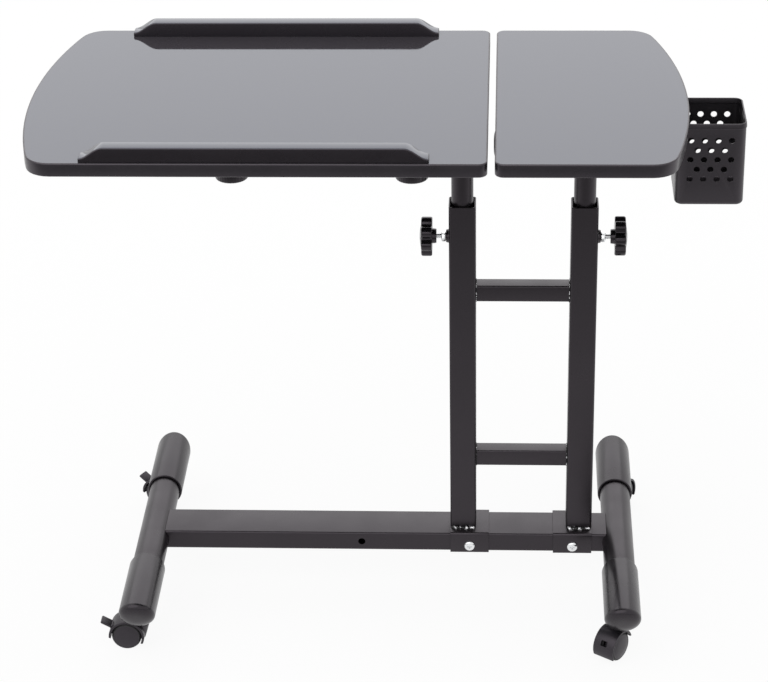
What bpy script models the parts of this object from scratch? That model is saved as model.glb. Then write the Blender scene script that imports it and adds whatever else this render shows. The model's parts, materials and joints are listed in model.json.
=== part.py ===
"""Rolling two-part work table, in metres with +Z up.

A large tilting worktop and a small fixed one stand on round posts that slide
in a welded ladder of square tube. The ladder straddles a crossbar between two
foot tubes, which roll on four hooded twin-wheel casters. The origin is on the
floor under the middle of the table.
"""

import math

import bmesh
import bpy
from mathutils import Matrix, Vector

# Fits between neighbouring pieces
SEAT_GAP = 0.0003
RUNNING_GAP = 0.0004
WELD_MERGE = 0.000002
CUT_MARGIN = 0.004

# Worktops
TOP_DEPTH = 0.400
TOP_THICKNESS = 0.016
TOP_EDGE_BEVEL = 0.0008
TOP_GAP = 0.008
TOP_END_RADIUS = 0.650
TOP_END_APEX_Y = -0.020
TOP_BOW_CORNER_RADIUS = 0.030
TOP_SQUARE_CORNER_RADIUS = 0.010
LARGE_TOP_WIDTH = 0.529
LARGE_TOP_OVERHANG = 0.031
SMALL_TOP_WIDTH = 0.220

# Stop bars on the large worktop
STOP_BAR_LENGTH = 0.378
STOP_BAR_DEPTH = 0.018
STOP_BAR_HEIGHT = 0.017
STOP_BAR_END_HEIGHT = 0.006
STOP_BAR_RAMP = 0.029
STOP_BAR_BEVEL = 0.0012
STOP_BAR_EDGE_INSET = 0.003
STOP_BAR_SIDE_INSET = 0.064
STOP_BAR_STAGGER = 0.003

# Ladder of uprights and rungs
POST_SPACING = 0.144
UPRIGHT_WIDTH = 0.032
UPRIGHT_WALL = 0.0015
UPRIGHT_CORNER_RADIUS = 0.0025
UPRIGHT_LENGTH = 0.441
RUNG_WIDTH = 0.021
RUNG_WALL = 0.0015
RUNG_CORNER_RADIUS = 0.002
UPPER_RUNG_RISE = 0.325
LOWER_RUNG_RISE = 0.0975

# Posts and cross tubes
POST_RADIUS = 0.013
POST_WALL = 0.0015
POST_LENGTH = 0.395
POST_REST_RISE = 0.075
CROSS_TUBE_RADIUS = 0.016
CROSS_TUBE_WALL = 0.0015
LARGE_TUBE_LEFT_REACH = 0.316
LARGE_TUBE_RIGHT_REACH = 0.018
SMALL_TUBE_LEFT_REACH = 0.038
SMALL_TUBE_RIGHT_REACH = 0.036
PLUG_LIP = 0.0025
PLUG_DOME = 0.007
PLUG_SPIGOT_LENGTH = 0.014

# Height knobs
BOSS_RADIUS = 0.0075
BOSS_LENGTH = 0.0035
HEIGHT_KNOB_DROP = 0.044
HEIGHT_STUD_RADIUS = 0.003
NUT_WIDTH = 0.0115
NUT_THICKNESS = 0.005
KNOB_STANDOFF = 0.006
HEIGHT_HUB_RADIUS = 0.0085
HEIGHT_HUB_LENGTH = 0.005
HEIGHT_KNOB_RADIUS = 0.024
HEIGHT_KNOB_THICKNESS = 0.013
HEIGHT_KNOB_LOBES = 7
HEIGHT_KNOB_LOBE_DEPTH = 0.005
HEIGHT_KNOB_BEVEL = 0.0016
HEIGHT_KNOB_CROWN = 0.002

# Clamps and saddles under the worktops
TOP_RISE = 0.047
CLAMP_LENGTH = 0.036
CLAMP_RING_WALL = 0.0065
CLAMP_NECK_WIDTH = 0.030
CLAMP_FLANGE_LENGTH = 0.056
CLAMP_FLANGE_WIDTH = 0.060
CLAMP_FLANGE_THICKNESS = 0.004
CLAMP_FLANGE_CORNER = 0.008
CLAMP_BOSS_RADIUS = 0.009
CLAMP_BOSS_LENGTH = 0.0025
INNER_CLAMP_OFFSET = 0.059
CLAMP_SPACING = 0.212
SMALL_SADDLE_INNER_OFFSET = 0.043
SMALL_SADDLE_OUTER_OFFSET = 0.0025

# Tilt knobs
TILT_STUD_RADIUS = 0.004
TILT_HUB_RADIUS = 0.010
TILT_HUB_LENGTH = 0.002
TILT_KNOB_RADIUS = 0.0215
TILT_KNOB_THICKNESS = 0.013
TILT_KNOB_FLUTES = 12
TILT_KNOB_FLUTE_DEPTH = 0.0012
TILT_KNOB_BEVEL = 0.002

# Crossbar, saddle brackets and their screws
BAR_WIDTH = 0.054
BAR_HEIGHT = 0.025
BAR_WALL = 0.0015
BAR_CORNER_RADIUS = 0.002
SPARE_HOLE_RADIUS = 0.0045
SPARE_HOLE_OFFSET = 0.127
BRACKET_LENGTH = 0.048
BRACKET_WALL = 0.002
BRACKET_BEND_RADIUS = 0.003
BRACKET_LEG_OVERRUN = 0.0005
SCREW_DROP = 0.003
SCREW_SHANK_RADIUS = 0.003
SCREW_SHANK_LENGTH = 0.014
SCREW_HEAD_RADIUS = 0.0067
SCREW_HEAD_HEIGHT = 0.0036

# Feet
FOOT_LENGTH = 0.410
FOOT_TUBE_RADIUS = 0.019
FOOT_TUBE_WALL = 0.0015
LEFT_FOOT_REACH = 0.389
RIGHT_FOOT_REACH = 0.049
CAP_LENGTH = 0.113
CAP_WALL = 0.0027
CAP_END_WALL = 0.018
CAP_DOME = 0.012
CAP_DOME_FULLNESS = 0.7
CAP_END_LEAN = math.radians(24)

# Casters
CASTER_HEIGHT = 0.044
CASTER_END_INSET = 0.045
CASTER_TRAIL = 0.0185
WHEEL_RADIUS = 0.018
WHEEL_WIDTH = 0.0108
WHEEL_SHOULDER = 0.0025
WHEEL_FACE_CROWN = 0.0008
AXLE_RADIUS = 0.002
AXLE_REACH = 0.0105
HOOD_WIDTH = 0.028
HOOD_WALL = 0.0025
HOOD_CLEARANCE = 0.0012
HOOD_WEB = 0.0052
HOOD_LEADING_DROP = math.radians(25)
HOOD_PLAIN_TRAILING_DROP = math.radians(25)
HOOD_BRAKED_TRAILING_DROP = math.radians(2)
STEM_RADIUS = 0.004
STEM_REACH = 0.018
STEM_COLLAR_RADIUS = 0.007
STEM_COLLAR_HEIGHT = 0.0034
STEM_BOSS_RADIUS = 0.009
STEM_BOSS_HEIGHT = 0.0095
STEM_NOSE_RADIUS = 0.003
STEM_NOSE_HEIGHT = 0.020
BRAKE_PIVOT_ANGLE = math.radians(28)
BRAKE_BARREL_RADIUS = 0.0022
BRAKE_WIDTH = 0.0134
BRAKE_PEDAL_ANGLE = math.radians(30)
BRAKE_PEDAL_LENGTH = 0.015
BRAKE_PEDAL_THICKNESS = 0.0032
BRAKE_SLOT_SWING = 0.0070
FRONT_LEFT_SWIVEL = math.radians(180)
FRONT_RIGHT_SWIVEL = math.radians(235)
REAR_LEFT_SWIVEL = math.radians(150)
REAR_RIGHT_SWIVEL = math.radians(60)

# Pen basket
BASKET_WIDTH = 0.081
BASKET_DEPTH = 0.080
BASKET_HEIGHT = 0.102
BASKET_WALL = 0.0012
BASKET_CORNER_RADIUS = 0.010
BASKET_FLOOR_RADIUS = 0.004
BASKET_RIM_HEIGHT = 0.008
BASKET_RIM_PROUD = 0.0008
BASKET_DROP = 0.005
BASKET_TUCK = 0.014
BASKET_TAB_WIDTH = 0.040
BASKET_TAB_LENGTH = 0.018
BASKET_HOLE_RADIUS = 0.0037
BASKET_HOLE_PITCH = 0.0155
BASKET_ROW_PITCH = 0.0118
BASKET_ROW_COUNTS = (4, 3, 4, 3, 4)
BASKET_FIRST_ROW_DROP = 0.019

# Facets of round shapes
FINE_STEPS = 24
ROUND_STEPS = 20
SMALL_STEPS = 12
HOLE_STEPS = 8
CORNER_STEPS = 3
BOW_STEPS = 14
DOME_STEPS = 4
CROWN_STEPS = 3
HOOD_STEPS = 12
RAMP_STEPS = 6
LOBE_STEPS = 5
FLUTE_STEPS = 3

# Places worked out from the sizes above
OVERALL_WIDTH = LARGE_TOP_WIDTH + TOP_GAP + SMALL_TOP_WIDTH - BASKET_TUCK + BASKET_WIDTH
LARGE_TOP_RIGHT_X = LARGE_TOP_WIDTH - OVERALL_WIDTH / 2
SMALL_TOP_LEFT_X = LARGE_TOP_RIGHT_X + TOP_GAP
LEFT_POST_X = LARGE_TOP_RIGHT_X - LARGE_TOP_OVERHANG
RIGHT_POST_X = LEFT_POST_X + POST_SPACING
LEFT_FOOT_X = LEFT_POST_X - LEFT_FOOT_REACH
RIGHT_FOOT_X = RIGHT_POST_X + RIGHT_FOOT_REACH
CAP_BORE_RADIUS = FOOT_TUBE_RADIUS + SEAT_GAP
CAP_RADIUS = CAP_BORE_RADIUS + CAP_WALL
FOOT_AXIS_Z = CASTER_HEIGHT + CAP_RADIUS
FOOT_TUBE_LENGTH = FOOT_LENGTH - 2 * (CAP_END_WALL + SEAT_GAP)
CASTER_Y = FOOT_LENGTH / 2 - CASTER_END_INSET
STEM_HOLE_RADIUS = STEM_RADIUS + RUNNING_GAP
BRACKET_TOP_Z = FOOT_AXIS_Z + BAR_HEIGHT / 2 + SEAT_GAP + BRACKET_WALL
UPRIGHT_FOOT_Z = BRACKET_TOP_Z + SEAT_GAP
UPRIGHT_TOP_Z = UPRIGHT_FOOT_Z + UPRIGHT_LENGTH
HEIGHT_KNOB_Z = UPRIGHT_TOP_Z - HEIGHT_KNOB_DROP
CROSS_TUBE_Z = UPRIGHT_TOP_Z + POST_REST_RISE
BRACKET_CENTRE_SHIFT = BRACKET_LENGTH / 2 - UPRIGHT_WIDTH / 2
BOSS_END = UPRIGHT_WIDTH / 2 + BOSS_LENGTH
NUT_START = BOSS_END + SEAT_GAP
HEIGHT_HUB_START = NUT_START + NUT_THICKNESS + KNOB_STANDOFF
HEIGHT_STUD_START = POST_RADIUS + SEAT_GAP
CLAMP_BORE_RADIUS = CROSS_TUBE_RADIUS + 2 * RUNNING_GAP
CLAMP_RING_RADIUS = CLAMP_BORE_RADIUS + CLAMP_RING_WALL
CLAMP_BOSS_END = CLAMP_RING_RADIUS + CLAMP_BOSS_LENGTH
HOOD_BORE_RADIUS = WHEEL_RADIUS + HOOD_CLEARANCE
HOOD_RADIUS = HOOD_BORE_RADIUS + HOOD_WALL
WHEEL_INNER_Y = HOOD_WEB / 2 + RUNNING_GAP
AXLE_BORE_RADIUS = AXLE_RADIUS + RUNNING_GAP
AXLE_BORE_DEPTH = AXLE_REACH + SEAT_GAP - WHEEL_INNER_Y
STEM_TOP_Z = CASTER_HEIGHT + STEM_REACH
STEM_COLLAR_TOP_Z = CASTER_HEIGHT - SEAT_GAP
HOOD_TOP_Z = STEM_COLLAR_TOP_Z - STEM_COLLAR_HEIGHT - SEAT_GAP
STEM_FOOT_Z = HOOD_TOP_Z - STEM_BOSS_HEIGHT + SEAT_GAP
BASKET_LEFT_X = SMALL_TOP_LEFT_X + SMALL_TOP_WIDTH - BASKET_TUCK
BASKET_TAB_X = BASKET_LEFT_X - BASKET_TAB_LENGTH

# The inner saddle is set out from the small top's edge and the outer one from halfway between the
# post and the basket's tab, and the small top's tube reaches past the middle of each
INNER_SADDLE_X = SMALL_TOP_LEFT_X + SMALL_SADDLE_INNER_OFFSET
OUTER_SADDLE_X = (RIGHT_POST_X + BASKET_TAB_X) / 2 + SMALL_SADDLE_OUTER_OFFSET
SMALL_TUBE_LEFT_X = INNER_SADDLE_X - SMALL_TUBE_LEFT_REACH
SMALL_TUBE_RIGHT_X = OUTER_SADDLE_X + SMALL_TUBE_RIGHT_REACH

# Turns that lay a shape drawn in XY along another axis
ALONG_X = Matrix(((0, 0, 1, 0), (1, 0, 0, 0), (0, 1, 0, 0), (0, 0, 0, 1)))
ALONG_Y = Matrix.Rotation(math.radians(90), 4, "X")
TURNED_TO_Y = Matrix.Rotation(math.radians(-90), 4, "X")
TURNED_TO_X = Matrix.Rotation(math.radians(90), 4, "Y")
HALF_TURN = math.radians(180)
SHARP_ANGLE = math.radians(32)


def clear_scene():
    """Remove every object from the scene."""
    for obj in list(bpy.data.objects):
        bpy.data.objects.remove(obj, do_unlink=True)


def make_finish(name, colour, roughness, metallic):
    """Principled material with a linear base colour."""
    finish = bpy.data.materials.new(name)
    finish.use_nodes = True
    shader = finish.node_tree.nodes["Principled BSDF"]
    shader.inputs["Base Color"].default_value = (*colour, 1.0)
    shader.inputs["Roughness"].default_value = roughness
    shader.inputs["Metallic"].default_value = metallic
    return finish


def shift(x=0.0, y=0.0, z=0.0):
    """Translation matrix."""
    return Matrix.Translation((x, y, z))


def evaluated_mesh(obj):
    """Mesh of an object with its modifiers applied and its loose caps welded; the object is removed."""
    bpy.context.view_layer.update()
    depsgraph = bpy.context.evaluated_depsgraph_get()
    mesh = bpy.data.meshes.new_from_object(obj.evaluated_get(depsgraph))
    bpy.data.objects.remove(obj, do_unlink=True)
    work = bmesh.new()
    work.from_mesh(mesh)
    bmesh.ops.remove_doubles(work, verts=work.verts, dist=WELD_MERGE)
    bmesh.ops.dissolve_degenerate(work, edges=work.edges, dist=WELD_MERGE)
    work.to_mesh(mesh)
    work.free()
    return mesh


def scratch_object(data):
    """Temporary object in the scene that a shape is evaluated on."""
    obj = bpy.data.objects.new("scratch", data)
    bpy.context.scene.collection.objects.link(obj)
    return obj


def turned(profile, steps):
    """Profile of (radius, height) points turned about Z; it runs down its outer side."""
    mesh = bpy.data.meshes.new("profile")
    edges = [(i, i + 1) for i in range(len(profile) - 1)]
    if profile[0][0] > 0 and profile[-1][0] > 0:
        edges.append((len(profile) - 1, 0))
    mesh.from_pydata([(radius, 0.0, height) for radius, height in profile], edges, [])
    obj = scratch_object(mesh)
    screw = obj.modifiers.new("Turn", "SCREW")
    screw.steps = steps
    screw.render_steps = steps
    screw.use_merge_vertices = True
    screw.merge_threshold = WELD_MERGE
    return evaluated_mesh(obj)


def extruded(outlines, thickness, bevel=0.0):
    """Flat outlines in XY, inner ones as holes, made a solid of a thickness centred on Z = 0."""
    curve = bpy.data.curves.new("outline", "CURVE")
    curve.dimensions = "2D"
    curve.fill_mode = "BOTH"
    curve.extrude = thickness / 2 - bevel
    curve.bevel_depth = bevel
    curve.bevel_resolution = 0
    curve.offset = -bevel
    for outline in outlines:
        spline = curve.splines.new("POLY")
        spline.points.add(len(outline) - 1)
        for point, (x, y) in zip(spline.points, outline):
            point.co = (x, y, 0.0, 1.0)
        spline.use_cyclic_u = True
    return evaluated_mesh(scratch_object(curve))


def cylinder(radius, length, steps=ROUND_STEPS, end_radius=None):
    """Cylinder, or cone, along Z from 0 to its length."""
    mesh = bpy.data.meshes.new("cylinder")
    work = bmesh.new()
    bmesh.ops.create_cone(work, cap_ends=True, segments=steps, radius1=radius,
                          radius2=radius if end_radius is None else end_radius, depth=length,
                          matrix=shift(z=length / 2))
    work.to_mesh(mesh)
    work.free()
    return mesh


def box(low, high):
    """Box between two corners."""
    mesh = bpy.data.meshes.new("box")
    work = bmesh.new()
    size = Vector(high) - Vector(low)
    middle = (Vector(high) + Vector(low)) / 2
    bmesh.ops.create_cube(work, size=1.0, matrix=Matrix.Translation(middle) @ Matrix.Diagonal((*size, 1.0)))
    work.to_mesh(mesh)
    work.free()
    return mesh


def moved(mesh, *turns):
    """The same mesh after one or more transforms, the first one named applied last."""
    matrix = Matrix.Identity(4)
    for turn in turns:
        matrix = matrix @ turn
    mesh.transform(matrix)
    return mesh


def combined(base, tools, operation):
    """Base mesh after the tool meshes are joined to it or cut from it."""
    obj = scratch_object(base)
    cutters = [scratch_object(tool) for tool in tools]
    for cutter in cutters:
        step = obj.modifiers.new("Combine", "BOOLEAN")
        step.operation = operation
        step.object = cutter
    mesh = evaluated_mesh(obj)
    for cutter in cutters:
        bpy.data.objects.remove(cutter, do_unlink=True)
    return mesh


def joined(base, *tools):
    """Union of meshes."""
    return combined(base, tools, "UNION")


def cut(base, *tools):
    """Base mesh with the tool meshes taken away."""
    return combined(base, tools, "DIFFERENCE")


def finished(mesh, name, finish):
    """Name a finished mesh, give it its material and shade its round faces smooth."""
    mesh.name = name
    mesh.materials.clear()
    mesh.materials.append(finish)
    mesh.shade_smooth()
    mesh.set_sharp_from_angle(angle=SHARP_ANGLE)
    return mesh


def circle(radius, steps, centre=(0.0, 0.0)):
    """Points of a circle, counter-clockwise."""
    turns = [2 * math.pi * i / steps for i in range(steps)]
    return [(centre[0] + radius * math.cos(t), centre[1] + radius * math.sin(t)) for t in turns]


def arc(centre, radius, start, end, steps):
    """Points of an arc from one angle to another, both ends included."""
    turns = [start + (end - start) * i / steps for i in range(steps + 1)]
    return [(centre[0] + radius * math.cos(t), centre[1] + radius * math.sin(t)) for t in turns]


def filleted(points, radii):
    """Closed outline with an arc of its own radius at each corner that has one."""
    outline = []
    for i, (corner, radius) in enumerate(zip(points, radii)):
        here = Vector(corner)
        if not radius:
            outline.append(corner)
            continue
        before = (Vector(points[i - 1]) - here).normalized()
        after = (Vector(points[(i + 1) % len(points)]) - here).normalized()
        half = before.angle(after) / 2
        centre = here + (before + after).normalized() * radius / math.sin(half)
        start = here + before * radius / math.tan(half) - centre
        end = here + after * radius / math.tan(half) - centre
        sweep = math.atan2(start.x * end.y - start.y * end.x, start.dot(end))
        first = math.atan2(start.y, start.x)
        outline += arc(centre, radius, first, first + sweep, CORNER_STEPS)
    return outline


def rounded_rectangle(width, height, radius):
    """Rectangle centred on the origin, counter-clockwise, with round corners if it has a radius."""
    x, y = width / 2, height / 2
    return filleted([(x, -y), (x, y), (-x, y), (-x, -y)], [radius] * 4)


def square_tube(width, height, wall, radius, length):
    """Rectangular tube along Z, centred on the origin."""
    outer = rounded_rectangle(width, height, radius)
    inner = rounded_rectangle(width - 2 * wall, height - 2 * wall, 0.0)
    return extruded([outer, inner], length)


def round_tube(radius, wall, length):
    """Round tube along Z, centred on the origin."""
    half = length / 2
    bore = radius - wall
    return turned([(radius, half), (radius, -half), (bore, -half), (bore, half)], FINE_STEPS)


def lobed_outline(radius, lobes, depth, steps):
    """Outline of a grip with rounded lobes, from full radius at each lobe to full depth between."""
    count = lobes * steps
    points = []
    for i in range(count):
        turn = 2 * math.pi * i / count
        dip = depth * ((1 - math.cos(lobes * turn)) / 2) ** 2
        points.append(((radius - dip) * math.cos(turn), (radius - dip) * math.sin(turn)))
    return points


def worktop_outline(width, apex_y):
    """Worktop with a square end at X = 0 and a bowed end whose apex is at X = -width."""
    half = TOP_DEPTH / 2
    rear_sweep = math.asin((half - apex_y) / TOP_END_RADIUS)
    front_sweep = math.asin((half + apex_y) / TOP_END_RADIUS)
    bow = arc((TOP_END_RADIUS - width, apex_y), TOP_END_RADIUS, math.pi - rear_sweep,
              math.pi + front_sweep, BOW_STEPS)
    radii = [TOP_SQUARE_CORNER_RADIUS] * 2 + [0.0] * len(bow)
    radii[2] = TOP_BOW_CORNER_RADIUS
    radii[-1] = TOP_BOW_CORNER_RADIUS
    return filleted([(0.0, -half), (0.0, half)] + bow, radii)


def worktop_mesh(width, apex_y):
    """Worktop slab with its underside at Z = 0."""
    board = extruded([worktop_outline(width, apex_y)], TOP_THICKNESS, TOP_EDGE_BEVEL)
    return moved(board, shift(z=TOP_THICKNESS / 2))


def stop_bar_mesh():
    """Stop bar along X, standing on Z = 0, whose ends sweep down to a low nose."""
    half = STOP_BAR_LENGTH / 2
    rise = STOP_BAR_HEIGHT - STOP_BAR_END_HEIGHT
    right = []
    for i in range(RAMP_STEPS + 1):
        share = i / RAMP_STEPS
        height = STOP_BAR_END_HEIGHT + rise * (1 - math.cos(math.pi * share)) / 2
        right.append((half - STOP_BAR_RAMP * share, height))
    left = [(-x, z) for x, z in reversed(right)]
    outline = [(half, 0.0)] + right + left + [(-half, 0.0)]
    return moved(extruded([outline], STOP_BAR_DEPTH, STOP_BAR_BEVEL), ALONG_Y)


def upright_mesh():
    """Square upright from Z = 0 with a drilled boss on its +X side for the clamp stud."""
    tube = square_tube(UPRIGHT_WIDTH, UPRIGHT_WIDTH, UPRIGHT_WALL, UPRIGHT_CORNER_RADIUS, UPRIGHT_LENGTH)
    tube = moved(tube, shift(z=UPRIGHT_LENGTH / 2))
    knob_z = UPRIGHT_LENGTH - HEIGHT_KNOB_DROP
    inside = UPRIGHT_WIDTH / 2 - UPRIGHT_WALL / 2
    boss = cylinder(BOSS_RADIUS, BOSS_END - inside, SMALL_STEPS)
    boss = moved(boss, shift(x=inside, z=knob_z), TURNED_TO_X)
    drill = cylinder(HEIGHT_STUD_RADIUS + RUNNING_GAP, UPRIGHT_WIDTH, SMALL_STEPS)
    return cut(joined(tube, boss), moved(drill, shift(z=knob_z), TURNED_TO_X))


def rung_mesh():
    """Square rung along X that fills the space between the uprights."""
    length = POST_SPACING - UPRIGHT_WIDTH - 2 * SEAT_GAP
    return moved(square_tube(RUNG_WIDTH, RUNG_WIDTH, RUNG_WALL, RUNG_CORNER_RADIUS, length), ALONG_X)


def clamp_nut_mesh():
    """Hex nut along +X whose seat is at X = 0."""
    corner = NUT_WIDTH / math.sqrt(3)
    bore = circle(HEIGHT_STUD_RADIUS + RUNNING_GAP, SMALL_STEPS)
    nut = extruded([circle(corner, 6), bore], NUT_THICKNESS)
    return moved(nut, shift(x=NUT_THICKNESS / 2), ALONG_X)


def crown(radius, height, start):
    """Shallow dome above a height, as a profile that runs from its top down to its edge."""
    turns = [math.pi / 2 * i / CROWN_STEPS for i in range(CROWN_STEPS + 1)]
    return [(radius * math.sin(t), start + height * math.cos(t)) for t in turns]


def height_knob_mesh():
    """Star knob with hub and stud along +X, measured from the post's axis."""
    head_start = HEIGHT_HUB_START + HEIGHT_HUB_LENGTH
    head_end = head_start + HEIGHT_KNOB_THICKNESS
    outline = lobed_outline(HEIGHT_KNOB_RADIUS, HEIGHT_KNOB_LOBES, HEIGHT_KNOB_LOBE_DEPTH, LOBE_STEPS)
    star = extruded([outline], HEIGHT_KNOB_THICKNESS, HEIGHT_KNOB_BEVEL)
    star = moved(star, shift(z=head_start + HEIGHT_KNOB_THICKNESS / 2))
    crown_radius = HEIGHT_KNOB_RADIUS - HEIGHT_KNOB_LOBE_DEPTH - HEIGHT_KNOB_BEVEL
    shaft = crown(crown_radius, HEIGHT_KNOB_CROWN, head_end - WELD_MERGE)
    shaft += [(crown_radius, head_end - HEIGHT_KNOB_THICKNESS / 2),
              (HEIGHT_HUB_RADIUS, head_end - HEIGHT_KNOB_THICKNESS / 2),
              (HEIGHT_HUB_RADIUS, HEIGHT_HUB_START), (HEIGHT_STUD_RADIUS, HEIGHT_HUB_START),
              (HEIGHT_STUD_RADIUS, HEIGHT_STUD_START), (0.0, HEIGHT_STUD_START)]
    return moved(joined(star, turned(shaft, SMALL_STEPS)), TURNED_TO_X)


def tilt_knob_mesh():
    """Round fluted knob, hub and stud below the cross tube's axis, which is at Z = 0."""
    hub_top = -CLAMP_BOSS_END - SEAT_GAP
    head_top = hub_top - TILT_HUB_LENGTH
    outline = lobed_outline(TILT_KNOB_RADIUS, TILT_KNOB_FLUTES, TILT_KNOB_FLUTE_DEPTH, FLUTE_STEPS)
    head = extruded([outline], TILT_KNOB_THICKNESS, TILT_KNOB_BEVEL)
    head = moved(head, shift(z=head_top - TILT_KNOB_THICKNESS / 2))
    stud_top = -CROSS_TUBE_RADIUS - SEAT_GAP
    inside = head_top - TILT_KNOB_THICKNESS / 2
    shaft = [(0.0, stud_top), (TILT_STUD_RADIUS, stud_top), (TILT_STUD_RADIUS, hub_top),
             (TILT_HUB_RADIUS, hub_top), (TILT_HUB_RADIUS, inside), (0.0, inside)]
    return joined(head, turned(shaft, SMALL_STEPS))


def post_mesh():
    """Tube below the cross tube's axis, which is at Z = 0, coped to seat under that tube."""
    shaft = moved(cylinder(POST_RADIUS, POST_LENGTH), shift(z=-POST_LENGTH))
    bore_length = POST_LENGTH + CUT_MARGIN
    bore = moved(cylinder(POST_RADIUS - POST_WALL, bore_length), shift(z=-bore_length))
    cope_length = 2 * (POST_RADIUS + CUT_MARGIN)
    cope = cylinder(CROSS_TUBE_RADIUS + SEAT_GAP, cope_length)
    return cut(shaft, bore, moved(cope, TURNED_TO_X, shift(z=-cope_length / 2)))


def cross_tube_mesh(left_reach, right_reach):
    """Tube along X whose post is under X = 0."""
    tube = round_tube(CROSS_TUBE_RADIUS, CROSS_TUBE_WALL, left_reach + right_reach)
    return moved(tube, shift(x=(right_reach - left_reach) / 2), TURNED_TO_X)


def tube_plug_mesh():
    """Domed plug for a cross tube's end, which is at X = 0 with the dome towards +X."""
    lip = CROSS_TUBE_RADIUS + PLUG_LIP
    spigot = CROSS_TUBE_RADIUS - CROSS_TUBE_WALL - RUNNING_GAP
    profile = crown(lip, PLUG_DOME, SEAT_GAP)
    profile += [(spigot, SEAT_GAP), (spigot, -PLUG_SPIGOT_LENGTH), (0.0, -PLUG_SPIGOT_LENGTH)]
    return moved(turned(profile, ROUND_STEPS), TURNED_TO_X)


def clamp_mesh(with_boss):
    """Ring round the cross tube, at Z = 0, that hangs from a screw flange under a worktop."""
    flange_z = TOP_RISE - SEAT_GAP - CLAMP_FLANGE_THICKNESS / 2
    outline = rounded_rectangle(CLAMP_FLANGE_LENGTH, CLAMP_FLANGE_WIDTH, CLAMP_FLANGE_CORNER)
    flange = moved(extruded([outline], CLAMP_FLANGE_THICKNESS), shift(z=flange_z))
    ring = cylinder(CLAMP_RING_RADIUS, CLAMP_LENGTH)
    ring = moved(ring, TURNED_TO_X, shift(z=-CLAMP_LENGTH / 2))
    neck = box((-CLAMP_LENGTH / 2 + SEAT_GAP, -CLAMP_NECK_WIDTH / 2, 0.0),
               (CLAMP_LENGTH / 2 - SEAT_GAP, CLAMP_NECK_WIDTH / 2, flange_z))
    bore = cylinder(CLAMP_BORE_RADIUS, CLAMP_LENGTH + 2 * CUT_MARGIN)
    bore = moved(bore, TURNED_TO_X, shift(z=-CLAMP_LENGTH / 2 - CUT_MARGIN))
    body = joined(flange, neck, ring)
    if not with_boss:
        return cut(body, bore)
    boss = moved(cylinder(CLAMP_BOSS_RADIUS, CLAMP_BOSS_END, SMALL_STEPS), shift(z=-CLAMP_BOSS_END))
    drill_length = CLAMP_BOSS_END + CUT_MARGIN
    drill = moved(cylinder(TILT_STUD_RADIUS + RUNNING_GAP, drill_length, SMALL_STEPS), shift(z=-drill_length))
    return cut(joined(body, boss), bore, drill)


def crossbar_mesh():
    """Crossbar along X between the foot tubes, coped round them and drilled in front."""
    length = RIGHT_FOOT_X - LEFT_FOOT_X
    bar = square_tube(BAR_WIDTH, BAR_HEIGHT, BAR_WALL, BAR_CORNER_RADIUS, length)
    bar = moved(bar, shift(x=(LEFT_FOOT_X + RIGHT_FOOT_X) / 2), ALONG_X)
    copes = []
    for foot_x in (LEFT_FOOT_X, RIGHT_FOOT_X):
        cope = cylinder(CAP_BORE_RADIUS, BAR_WIDTH + 2 * CUT_MARGIN, FINE_STEPS)
        copes.append(moved(cope, shift(x=foot_x, y=-BAR_WIDTH / 2 - CUT_MARGIN), TURNED_TO_Y))
    drills = [drill_in_front(screw_x, -SCREW_DROP, SCREW_SHANK_RADIUS + RUNNING_GAP, BAR_WIDTH / 2)
              for screw_x in (bracket_x("left"), bracket_x("right"))]
    drills.append(drill_in_front(LEFT_POST_X - SPARE_HOLE_OFFSET, 0.0, SPARE_HOLE_RADIUS, BAR_WIDTH / 2))
    return cut(bar, *copes, *drills)


def drill_in_front(x, z, radius, front):
    """Cutter through a front wall that stands at Y = -front."""
    drill = cylinder(radius, 2 * CUT_MARGIN, SMALL_STEPS)
    return moved(drill, shift(x=x, y=-front - CUT_MARGIN, z=z), TURNED_TO_Y)


def bracket_x(side):
    """Middle of a saddle bracket: flush with its upright outside, longer inside."""
    if side == "left":
        return LEFT_POST_X + BRACKET_CENTRE_SHIFT
    return RIGHT_POST_X - BRACKET_CENTRE_SHIFT


def bracket_mesh():
    """U-shaped bracket over the crossbar, whose middle is the origin, drilled in front."""
    inner_x = BAR_WIDTH / 2 + SEAT_GAP
    inner_z = BAR_HEIGHT / 2 + SEAT_GAP
    outer_x = inner_x + BRACKET_WALL
    outer_z = inner_z + BRACKET_WALL
    foot_z = -BAR_HEIGHT / 2 - BRACKET_LEG_OVERRUN
    points = [(outer_x, foot_z), (outer_x, outer_z), (-outer_x, outer_z), (-outer_x, foot_z),
              (-inner_x, foot_z), (-inner_x, inner_z), (inner_x, inner_z), (inner_x, foot_z)]
    radii = [0.0, BRACKET_BEND_RADIUS, BRACKET_BEND_RADIUS] + [0.0] * 5
    channel = moved(extruded([filleted(points, radii)], BRACKET_LENGTH), ALONG_X)
    return cut(channel, drill_in_front(0.0, -SCREW_DROP, SCREW_SHANK_RADIUS + RUNNING_GAP, outer_x))


def bracket_screw_mesh():
    """Pan-head screw along Y whose head is towards -Y and seats at Y = 0."""
    profile = crown(SCREW_HEAD_RADIUS, SCREW_HEAD_HEIGHT, SEAT_GAP)
    profile += [(SCREW_SHANK_RADIUS, SEAT_GAP), (SCREW_SHANK_RADIUS, -SCREW_SHANK_LENGTH),
                (0.0, -SCREW_SHANK_LENGTH)]
    return moved(turned(profile, SMALL_STEPS), ALONG_Y)


def stem_drill():
    """Cutter for a caster stem, down from a foot's axis at Z = 0."""
    length = CAP_RADIUS + CUT_MARGIN
    return moved(cylinder(STEM_HOLE_RADIUS, length, SMALL_STEPS), shift(z=-length))


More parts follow.
